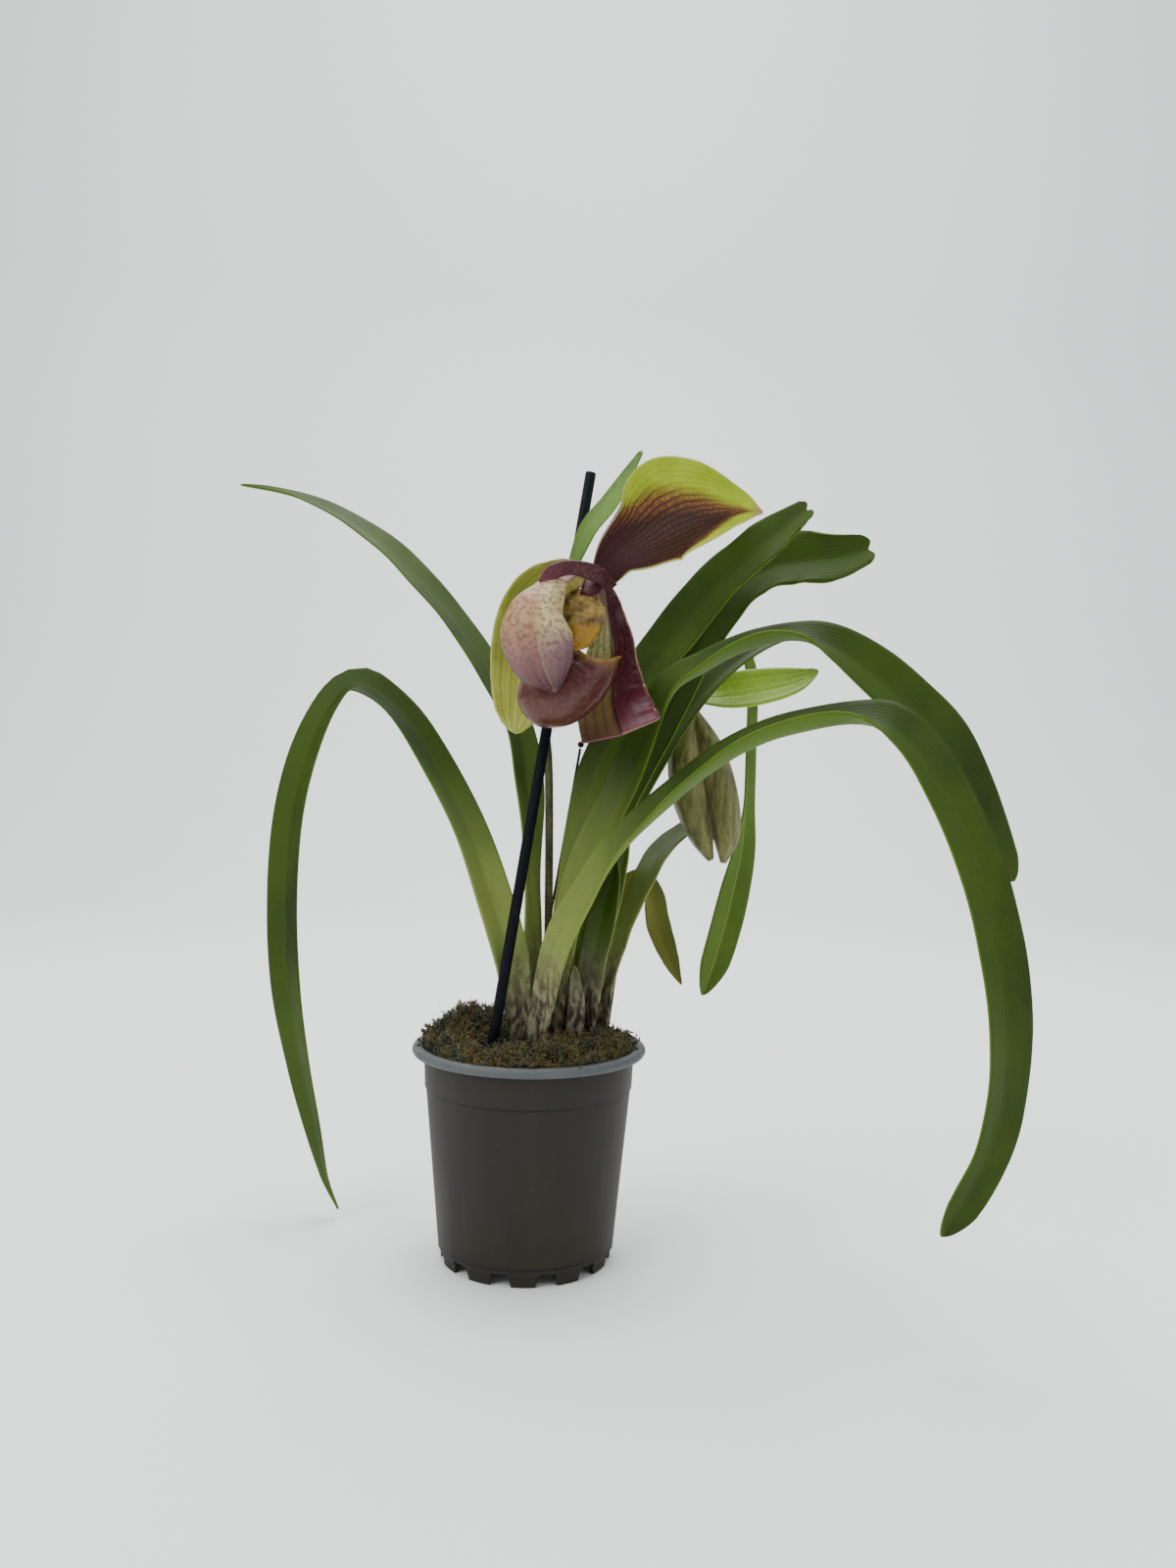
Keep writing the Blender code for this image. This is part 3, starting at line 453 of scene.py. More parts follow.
@dataclass
class Route:
    """A smooth curve through a short list of rows; the first three values are a place."""

    rows: Sequence[Row]
    steps: int = 300

    def __post_init__(self) -> None:
        """Measure the route, so that places can be spaced by length."""
        self.lengths = [0.0]
        previous = Vector(self.raw(0.0)[:3])
        for k in range(1, self.steps + 1):
            here = Vector(self.raw(k / self.steps)[:3])
            self.lengths.append(self.lengths[-1] + (here - previous).length)
            previous = here

    def raw(self, place: float) -> list[float]:
        """Give the Catmull-Rom row at a place from nought to one, by row number."""
        last = len(self.rows) - 1
        along = min(max(place, 0.0), 1.0) * last
        start = min(int(along), last - 1)
        t = along - start
        p0, p1, p2, p3 = (np.array(self.rows[min(max(start + k, 0), last)], dtype=float)
                          for k in (-1, 0, 1, 2))
        return list(0.5 * (2 * p1 + (p2 - p0) * t + (2 * p0 - 5 * p1 + 4 * p2 - p3) * t * t
                           + (3 * p1 - p0 - 3 * p2 + p3) * t ** 3))

    def place(self, share: float) -> float:
        """Turn a share of the length into a place by row number."""
        wanted = self.lengths[-1] * min(max(share, 0.0), 1.0)
        k = min(int(np.searchsorted(self.lengths, wanted, side="right")) - 1, self.steps - 1)
        width = max(self.lengths[k + 1] - self.lengths[k], 1e-9)
        return (k + (wanted - self.lengths[k]) / width) / self.steps

    def at(self, share: float) -> tuple[Vector, Vector, list[float]]:
        """Give the point, tangent and other values at a share of the length."""
        place = self.place(share)
        row = self.raw(place)
        ahead = Vector(self.raw(min(place + 0.01, 1.0))[:3])
        behind = Vector(self.raw(max(place - 0.01, 0.0))[:3])
        return Vector(row[:3]), (ahead - behind).normalized(), row[3:]


def make_mesh(name: str, bm: bmesh.types.BMesh) -> bpy.types.Mesh:
    """Turn a bmesh into a mesh, and free it."""
    mesh = bpy.data.meshes.new(name)
    bm.to_mesh(mesh)
    bm.free()
    return mesh


def put(name: str, data: bpy.types.ID) -> bpy.types.Object:
    """Put a mesh, lamp or camera into the scene as an object."""
    thing = bpy.data.objects.new(name, data)
    bpy.context.scene.collection.objects.link(thing)
    return thing


def make_piece(name: str, bm: bmesh.types.BMesh, materials: Sequence[Material],
               node: str | Sequence[str], slot: str) -> bpy.types.Object:
    """Turn a bmesh into a smooth piece that rides on the plant.

    Args:
        name: Name of the piece.
        bm: Mesh in metres, freed here.
        materials: Materials in slot order.
        node: Node or nodes that the piece replaces, or an empty string.
        slot: Not used.

    Returns:
        The piece.
    """
    mesh = make_mesh(name, bm)
    mesh.shade_smooth()
    piece = put(name, mesh)
    for entry in materials:
        mesh.materials.append(entry)
    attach(piece, BODY)
    if node:
        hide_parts(*((node,) if isinstance(node, str) else node))
    LOG.info("%s: %d faces", name, len(mesh.polygons))
    return piece


def turned(profile: Sequence[Row], steps: int, unit: float = MM,
           close: float = 1e-6) -> bmesh.types.BMesh:
    """Turn a profile about Z into a closed body.

    Args:
        profile: Radius and height of each point.
        steps: Sides of the body.
        unit: Length of the profile's unit.
        close: Points nearer than this become one.

    Returns:
        The mesh.
    """
    bm = bmesh.new()
    verts = [bm.verts.new((r * unit, 0.0, z * unit)) for r, z in profile]
    edges = [bm.edges.new(pair) for pair in zip(verts, verts[1:])]
    bmesh.ops.spin(bm, geom=verts + edges, cent=(0, 0, 0), axis=(0, 0, 1), angle=math.tau,
                   steps=steps, use_merge=True)
    bmesh.ops.remove_doubles(bm, verts=bm.verts[:], dist=close)
    bmesh.ops.recalc_face_normals(bm, faces=bm.faces[:])
    return bm


def sideways(tangent: Vector) -> Vector:
    """Give a direction square to a stem's tangent, the same way round all along the stem."""
    return tangent.cross(Vector((0.3, 1.0, 0.1))).normalized()


@dataclass
class Blade:
    """A leaf, sepal, petal or bract: a curled sheet along a route.

    Each row holds a place, a half width, the way the face looks and the curl. Lengths are
    in millimetres. The wave is a height, a count and a phase; the tip is the share of the
    length that narrows; a metric blade has V in decimetres and more stations at its tip.
    """

    name: str
    rows: Sequence[Row]
    thickness: float
    stations: int = 130
    across: int = 16
    vee: float = 0.0
    wave: tuple[float, float, float] = (0.0, 3.0, 0.0)
    tip: float = 0.12
    notch: float = 0.0
    metric: bool = False
    pleat: float = 0.0
    node: str | None = None
    keel: float = 0.1
    least: float = 0.12
    left_phase: float = 1.3
    bunching: float = 1.6

    def point(self, route: Route, share: float, v: float) -> Vector:
        """Give a point of the mid surface.

        Args:
            route: The blade's route.
            share: Share of the length.
            v: Place across, from -1 to 1.

        Returns:
            The point, in millimetres.
        """
        centre, tangent, values = route.at(share)
        half, nx, ny, nz, curl = values
        if share > 1 - self.tip:
            rest = (share - 1 + self.tip) / self.tip * (0.5 if self.notch else 1.0)
            half = max(half, 0.8) * math.sqrt(max(1 - rest * rest, 0.0)) + self.least
        half = max(half, self.least)
        face = Vector((nx, ny, nz))
        face = (face - tangent * face.dot(tangent)).normalized()
        side = tangent.cross(face)
        bend = max(abs(curl), 1e-4)
        out = half * math.sin(v * bend) / bend * math.cos(self.vee)
        rise = half * (1 - math.cos(v * bend)) / bend
        rise *= 1 if curl >= 0 else -1
        rounded = math.sqrt(v * v + self.keel ** 2) - self.keel
        rise += half * rounded * math.sin(self.vee)
        height, count, phase = self.wave
        shift = phase + (self.left_phase if v < 0 else 0)
        rise += height * v * v * math.sin(math.tau * count * share + shift)
        ripple = math.tau * count * 3.3 * share + phase * 2 + 2 * v
        fine = height * 0.35 * v ** 4 * math.sin(ripple)
        rise += fine + self.pleat * math.cos(v * math.pi * 5) * min(share * 6, 1.0)
        dent = self.notch * math.exp(-(v / 0.3) ** 2) * max(0.0, (share - 0.96) / 0.04)
        cap = half * (1 - math.sqrt(max(1 - v * v, 0.0))) * max(0.0, (share - 0.7) / 0.3)
        back = dent + cap if self.notch else 0.0
        return centre + side * out + face * rise - tangent * back

    def build(self, upper: Material, lower: Material, slot: str) -> bpy.types.Object:
        """Build the blade with a UV map: across in U, along in V (decimetres if metric).

        Args:
            upper: Material of the face that looks along the row's direction.
            lower: Material of the other face and of the edge.
            slot: Material slot of the record.

        Returns:
            The piece, which replaces the node of the same name.
        """
        route = Route(self.rows)
        bm = bmesh.new()
        bmesh.ops.create_grid(bm, x_segments=self.across, y_segments=self.stations, size=0.5)
        layer = bm.loops.layers.uv.new("blade")
        stretch = route.lengths[-1] / 100.0 if self.metric else 1.0
        if self.metric:
            for vert in bm.verts:
                vert.co.y = 0.5 - max(0.5 - vert.co.y, 0.0) ** self.bunching
        for face in bm.faces:
            for loop in face.loops:
                loop[layer].uv = (loop.vert.co.x + 0.5, (loop.vert.co.y + 0.5) * stretch)
        for vert in bm.verts:
            share = min(max(vert.co.y + 0.5, 0.0), 1.0)
            vert.co = self.point(route, share, vert.co.x * 2) * MM
        piece = make_piece(f"{self.name}_blade", bm, [upper, lower],
                           self.name if self.node is None else self.node, slot)
        solid = piece.modifiers.new("Thickness", "SOLIDIFY")
        solid.thickness = self.thickness * MM
        solid.offset = 0.0
        solid.material_offset = Side.LOWER.value
        solid.material_offset_rim = Side.LOWER.value
        return piece


class Scatter:
    """Repeats a few small shapes at many places and joins them in one mesh."""

    def __init__(self, shapes: Sequence[bpy.types.Mesh]) -> None:
        """Keep the shapes and their resting points.

        Args:
            shapes: Small meshes, about one unit high along Z from the origin.
        """
        self.shapes = shapes
        self.rest = []
        for shape in shapes:
            flat = np.empty(len(shape.vertices) * 3)
            shape.vertices.foreach_get("co", flat)
            self.rest.append(flat.reshape(-1, 3))
        self.bm = bmesh.new()

    def add(self, index: int, place: Matrix) -> None:
        """Add one copy of a shape.

        Args:
            index: Which shape.
            place: Its transform, into metres.
        """
        turn = np.array(place)
        moved = self.rest[index] @ turn[:3, :3].T + turn[:3, 3]
        self.shapes[index].vertices.foreach_set("co", moved.ravel())
        self.bm.from_mesh(self.shapes[index])


def strand_shape(name: str, sides: int, bends: int, bow: float, tip: float) -> bpy.types.Mesh:
    """Make one tapering, bowed strand, one unit long and one unit in radius at its root.

    Args:
        name: Name of the mesh.
        sides: Sides of the strand.
        bends: Cuts along it.
        bow: How far its end bows to +X, in units of length.
        tip: Radius at the end.

    Returns:
        The mesh.
    """
    bm = bmesh.new()
    bmesh.ops.create_cone(bm, cap_ends=True, segments=sides, radius1=1.0, radius2=tip, depth=1.0,
                          matrix=Matrix.Translation((0, 0, 0.5)))
    if bends:
        long_edges = [e for e in bm.edges if abs(e.verts[0].co.z - e.verts[1].co.z) > 0.5]
        bmesh.ops.subdivide_edges(bm, edges=long_edges, cuts=bends)
    for vert in bm.verts:
        vert.co.x += bow * 20.0 * vert.co.z ** 2
    return make_mesh(name, bm)


def strand_place(root: Vector, direction: Vector, length: float, radius: float,
                 roll: float) -> Matrix:
    """Place a strand shape.

    Args:
        root: Foot of the strand, in millimetres.
        direction: Way it grows.
        length: Length in millimetres.
        radius: Root radius in millimetres.
        roll: Turn about its own length, in radians.

    Returns:
        The transform, into metres.
    """
    turn = direction.to_track_quat("Z", "Y").to_matrix().to_4x4()
    size = Matrix.Diagonal((radius * MM, radius * MM, length * MM, 1.0))
    return Matrix.Translation(root * MM) @ turn @ Matrix.Rotation(roll, 4, "Z") @ size


@dataclass
class Foliage:
    """The thirteen leaves of both crowns."""

    thickness: float = 0.8
    vee: float = 0.3
    wave: float = 0.35
    notch: float = 2.6
    notched: Sequence[str] = ("leaf_upright_notched", "leaf_broad_behind")
    foot_depth: float = 10.0
    rows: dict = field(default_factory=lambda: {
        "leaf_hanging_left": [
            (-3.5, -5, 83.2, 4, 0.2, -0.9, 0.2, 0), (-7.1, -6, 112.2, 7, 0.3, -0.9, 0.3, 0),
            (-16, 0, 137, 8.5, 0.5, -0.7, 0.5, 0.1), (-25.9, 11, 161, 8.5, 0.5, -0.65, 0.55, 0.1),
            (-38.5, 21, 183.1, 8.5, 0.4, -0.6, 0.7, 0.15),
            (-53.7, 29, 205.5, 8.5, 0.2, -0.5, 0.85, 0.2),
            (-66.8, 33, 217.6, 8.5, 0, -0.5, 0.85, 0.2),
            (-77.7, 36, 221.8, 8.5, -0.35, -0.6, 0.7, 0.2),
            (-87.6, 37, 213.4, 8.5, -0.6, -0.75, 0.3, 0.1),
            (-97.7, 38, 191.5, 8.5, -0.5, -0.85, 0.1, 0.05),
            (-103.5, 37, 163, 8.5, -0.5, -0.85, 0.1, 0),
            (-104.8, 36, 128.5, 8.6, -0.5, -0.85, 0, 0),
            (-102.6, 35.5, 93.7, 8.2, -0.5, -0.85, 0, 0),
            (-96.9, 35, 63.2, 7.4, -0.55, -0.8, -0.1, 0), (-90.5, 34, 37, 5.4, -0.6, -0.8, -0.1, 0),
            (-85, 33, 17, 3.6, -0.75, -0.65, -0.1, 0), (-79.8, 33, 3.6, 1.2, -0.8, -0.6, -0.1, 0)],
        "leaf_upper_left": [
            (-1.5, 0.5, 83.2, 4, 0.4, -0.9, 0.2, 0), (-0.4, 3.8, 118.5, 5.3, 0.8, -0.6, 0.1, 0),
            (-1.7, 6.2, 150.9, 5.8, 0.8, -0.5, 0.2, 0), (-3.3, 11, 177.8, 7.4, 0.6, -0.6, 0.4, 0),
            (-8.1, 19, 203.4, 7.6, 0.6, -0.6, 0.5, 0), (-20.2, 25, 225.6, 8, 0.5, -0.6, 0.6, 0),
            (-34.5, 31, 245.7, 8.5, 0.45, -0.5, 0.7, 0),
            (-50.3, 37, 263.9, 8.5, 0.35, -0.5, 0.8, 0),
            (-66.2, 42, 279.8, 8.5, 0.3, -0.45, 0.85, 0),
            (-86.3, 47, 293.9, 7.5, 0.2, -0.4, 0.9, 0), (-107.6, 51, 303.7, 5, 0.1, -0.4, 0.9, 0),
            (-131.9, 53, 308.8, 1.2, 0, -0.4, 0.9, 0)],
        "leaf_long_right_lower": [
            (3, -7.5, 83.3, 4.2, -0.2, -0.9, 0.2, 0), (10.2, -13, 119.9, 6, -0.3, -0.9, 0.3, 0.1),
            (22, -19, 141, 7.5, -0.5, -0.7, 0.5, 0.3), (33.8, -27, 158.5, 9, -0.55, -0.5, 0.7, 0.4),
            (46.7, -34, 171.8, 10, -0.5, -0.35, 0.8, 0.5),
            (63.1, -43, 186.5, 10.5, -0.4, -0.25, 0.9, 0.55),
            (79.3, -51, 196.8, 10.5, -0.25, -0.2, 0.95, 0.6),
            (95.2, -58, 201.9, 10.5, -0.05, -0.2, 0.95, 0.6),
            (110.3, -63, 204.3, 11, 0.2, -0.35, 0.9, 0.45),
            (122, -66, 201.4, 11.5, 0.45, -0.7, 0.55, 0.2),
            (133.3, -68.5, 188.9, 11, 0.5, -0.8, 0.3, 0.1),
            (145.5, -71, 164, 10.6, 0.48, -0.85, 0.2, 0),
            (152.7, -73, 140, 10.6, 0.45, -0.88, 0.1, 0),
            (157, -75, 114.8, 10.4, 0.45, -0.88, 0, 0), (157.6, -76, 96, 9.6, 0.48, -0.87, 0, 0),
            (156, -76, 78.5, 8.6, 0.45, -0.88, 0, 0), (151.9, -77, 64.5, 7.4, 0.4, -0.9, 0, 0),
            (145, -77.5, 51.2, 6.8, 0.35, -0.9, 0, 0), (137.5, -78, 38.9, 4, 0.3, -0.9, 0, 0)],
        "leaf_long_right_upper": [
            (8.5, -3, 83.2, 4, -0.3, -0.9, 0.2, 0), (12, -4, 115, 5, -0.4, -0.9, 0.3, 0),
            (20, -6, 148, 8, -0.5, -0.7, 0.4, 0.1), (36, -13, 181, 9.6, -0.5, -0.6, 0.5, 0.3),
            (49.9, -16, 214.7, 9.6, -0.5, -0.5, 0.65, 0.4),
            (63.2, -21, 224.8, 10, -0.4, -0.35, 0.8, 0.5),
            (79, -29, 232.5, 10, -0.2, -0.25, 0.9, 0.6),
            (93.8, -37.5, 235, 10, 0.05, -0.35, 0.9, 0.5),
            (106.3, -40, 231.4, 10.5, 0.3, -0.7, 0.6, 0.3),
            (120, -41.5, 222.5, 11.5, 0.35, -0.85, 0.4, 0.1),
            (133.2, -41, 211.7, 12, 0.4, -0.88, 0.3, 0),
            (145.8, -39, 199.6, 12, 0.42, -0.88, 0.25, 0),
            (156.5, -37, 183.8, 10, 0.42, -0.88, 0.2, 0),
            (165.9, -35, 167.4, 7.6, 0.42, -0.88, 0.2, 0),
            (174.6, -33, 150.2, 4.6, 0.42, -0.88, 0.2, 0)],
        "leaf_upright_notched": [
            (10.5, 1.5, 83.2, 4, -0.3, -0.9, 0.2, 0), (13.5, 3, 125, 6, -0.4, -0.9, 0.3, 0),
            (21.1, 0.6, 176.5, 7.4, -0.5, -0.8, 0.3, 0),
            (30.3, 0, 200.6, 8.7, -0.55, -0.75, 0.35, 0),
            (40.6, 0.5, 221.4, 10.6, -0.5, -0.75, 0.4, 0),
            (55, -1, 241.3, 11.2, -0.45, -0.8, 0.4, 0), (69.3, -6, 258.6, 10.8, -0.4, -0.8, 0.4, 0),
            (82.7, -13, 271, 10, -0.35, -0.8, 0.4, 0), (93.1, -16, 279.8, 9, -0.3, -0.85, 0.4, 0),
            (102.3, -19, 287.3, 6, -0.3, -0.85, 0.4, 0)],
        "leaf_broad_behind": [
            (15.5, 6, 82.9, 3.5, -0.2, -0.9, 0.2, 0), (19, 10, 125, 5, -0.4, -0.9, 0.2, 0),
            (33, 13, 171, 8.5, -0.5, -0.8, 0.3, 0), (54.2, 12.5, 215.3, 10.5, -0.5, -0.7, 0.4, 0),
            (64.5, 11, 239.5, 11, -0.4, -0.8, 0.4, 0), (76.3, 8, 258.4, 11, -0.2, -0.9, 0.4, 0),
            (90.3, 5, 267.8, 11, -0.1, -0.9, 0.4, 0), (105.3, 3, 271.1, 11.8, 0, -0.9, 0.35, 0),
            (118.2, 1, 272.5, 12, 0.05, -0.9, 0.35, 0), (130.5, 0, 276, 8.5, 0.05, -0.9, 0.35, 0)],
        "leaf_spoon_behind": [
            (27, 16.5, 83.2, 3, -0.2, -0.9, 0.2, 0), (24, 32, 123, 6, -0.3, -0.9, 0.2, 0),
            (34, 46, 166, 7.5, -0.5, -0.7, 0.4, 0), (58, 54, 207, 8, -0.5, -0.6, 0.6, 0),
            (77, 59, 235, 8, -0.2, -0.5, 0.8, 0), (87.5, 63, 240, 8, 0.4, -0.4, 0.8, 0),
            (91, 66, 224.5, 7.5, 0.85, -0.4, 0.2, 0), (91.4, 69, 198.9, 7.5, 0.88, -0.4, 0, 0),
            (91.3, 71, 173.9, 7.5, 0.85, -0.45, 0, 0), (90.1, 72, 153.6, 7.7, 0.6, -0.75, -0.1, 0),
            (87, 73, 135.8, 8, 0.4, -0.9, -0.1, 0), (83.5, 74, 119.3, 8, 0.3, -0.9, -0.1, 0),
            (79, 74.5, 102.8, 7.5, 0.3, -0.9, -0.2, 0), (74.4, 75, 88, 4.5, 0.3, -0.9, -0.2, 0)],
        "leaf_twisted_small": [
            (27, 1.5, 83.2, 3.2, -0.2, -0.9, 0.2, 0), (28.8, 3, 104.6, 4.8, -0.5, -0.8, 0.2, 0),
            (35.1, 6, 120.8, 5, -0.7, -0.6, 0.1, 0), (40.4, 9.5, 134, 5.6, -0.7, -0.6, 0.2, 0),
            (45.4, 14, 146.2, 6.2, -0.6, -0.7, 0.3, 0), (52.3, 26, 155.5, 6.2, -0.5, -0.7, 0.5, 0),
            (62, 38, 163.2, 5.6, -0.4, -0.6, 0.7, 0), (72.1, 46, 168.9, 4, -0.2, -0.5, 0.8, 0),
            (81.2, 52, 171.9, 1.5, 0, -0.3, 0.9, 0)],
        "leaf_dark_upright": [
            (21, -2, 83.2, 3.5, -0.2, -0.9, 0.2, 0), (24, -4.5, 112, 6, -0.4, -0.9, 0.2, 0),
            (28.5, -5.5, 135, 6, -0.4, -0.9, 0.2, 0), (32.5, -6, 153, 1.5, -0.4, -0.9, 0.2, 0)],
        "leaf_sheath_front": [
            (17.5, -5, 83.2, 3.2, -0.2, -0.9, 0, -0.4), (18, -9, 99, 3.6, -0.2, -0.9, 0, -0.4),
            (17, -10.5, 113, 1, -0.2, -0.9, 0, -0.4)],
        "leaf_pale_narrow": [
            (20, 2, 83.2, 2.6, -0.2, -0.9, 0.2, 0), (25, 1, 112, 4, -0.3, -0.9, 0.2, 0),
            (31.5, 0.5, 137, 3.5, -0.3, -0.9, 0.2, 0), (37, 1, 160, 1.2, -0.3, -0.9, 0.2, 0)],
        "leaf_hanging_small": [
            (28, 11.5, 82.9, 2.8, -0.2, -0.9, 0.2, 0), (31.5, 20, 115, 4.5, -0.3, -0.9, 0.3, 0),
            (37.8, 28, 136.5, 5.2, -0.2, -0.8, 0.5, 0), (42.7, 32, 141.9, 5.6, 0.2, -0.7, 0.7, 0),
            (47.9, 35, 136, 6.2, 0.5, -0.75, 0.4, 0), (50.7, 37, 124, 6.2, 0.5, -0.8, 0.2, 0),
            (55.5, 38, 111.2, 4.6, 0.5, -0.8, 0.1, 0), (61.6, 39, 98.7, 1.5, 0.5, -0.8, 0.1, 0)],
        "leaf_behind_right": [
            (17.5, 10.5, 82.9, 2.6, -0.2, -0.9, 0.2, 0), (20, 18, 128, 4.5, -0.4, -0.9, 0.2, 0),
            (35, 22, 166, 7, -0.5, -0.7, 0.4, 0), (49, 23, 194, 8, -0.5, -0.7, 0.5, 0),
            (66, 23, 219, 8, -0.4, -0.6, 0.7, 0), (85, 22, 236, 6.5, -0.2, -0.5, 0.8, 0),
            (104, 20, 244, 1.5, -0.1, -0.4, 0.9, 0)],
    })

    def build(self) -> None:
        """Build every leaf with its own tone, tip and slight waves."""
        mature = (LeafFinish("waxy leaf, upper face").make(),
                  LeafFinish("waxy leaf, underside", "334808", "4d6814", "8f9c4c",
                             underside=True).make())
        young = (LeafFinish("young leaf, upper face", "182803", "2e4408", "5e7330", 0.6).make(),
                 LeafFinish("young leaf, underside", "2c4412", "486420", "7c8c44", 0.6,
                            True).make())
        pale = (LeafFinish("leaf seen from below", "3c5412", "557024", "8f9c4c", 0.8,
                           True).make(),) * 2
        brown = (LeafFinish("ageing leaf, upper face", "3c4a10", "66641f", "7a7c30", 0.6).make(),
                 LeafFinish("ageing leaf, underside", "4a5420", "6c6a30", "7c7c3c", 0.6,
                            True).make())
        tones = {"leaf_dark_upright": young, "leaf_sheath_front": young,
                 "leaf_hanging_small": brown, "leaf_spoon_behind": pale}
        blunt = {"leaf_broad_behind": 0.07, "leaf_upright_notched": 0.07,
                 "leaf_long_right_lower": 0.03, "leaf_long_right_upper": 0.03,
                 "leaf_spoon_behind": 0.05, "leaf_hanging_left": 0.04, "leaf_upper_left": 0.04}
        for index, (name, rows) in enumerate(self.rows.items()):
            upper, lower = tones.get(name, mature)
            x, y, z, half, *facing = rows[0]
            foot = (x * 0.92, y * 0.9, z - self.foot_depth, half * 0.7, *facing)
            blade = Blade(name, [foot] + rows, self.thickness, vee=self.vee,
                          wave=(self.wave, 2.0 + index % 3, index * 0.9),
                          tip=blunt.get(name, 0.1),
                          notch=self.notch if name in self.notched else 0.0, metric=True)
            blade.build(upper, lower, "leaf")


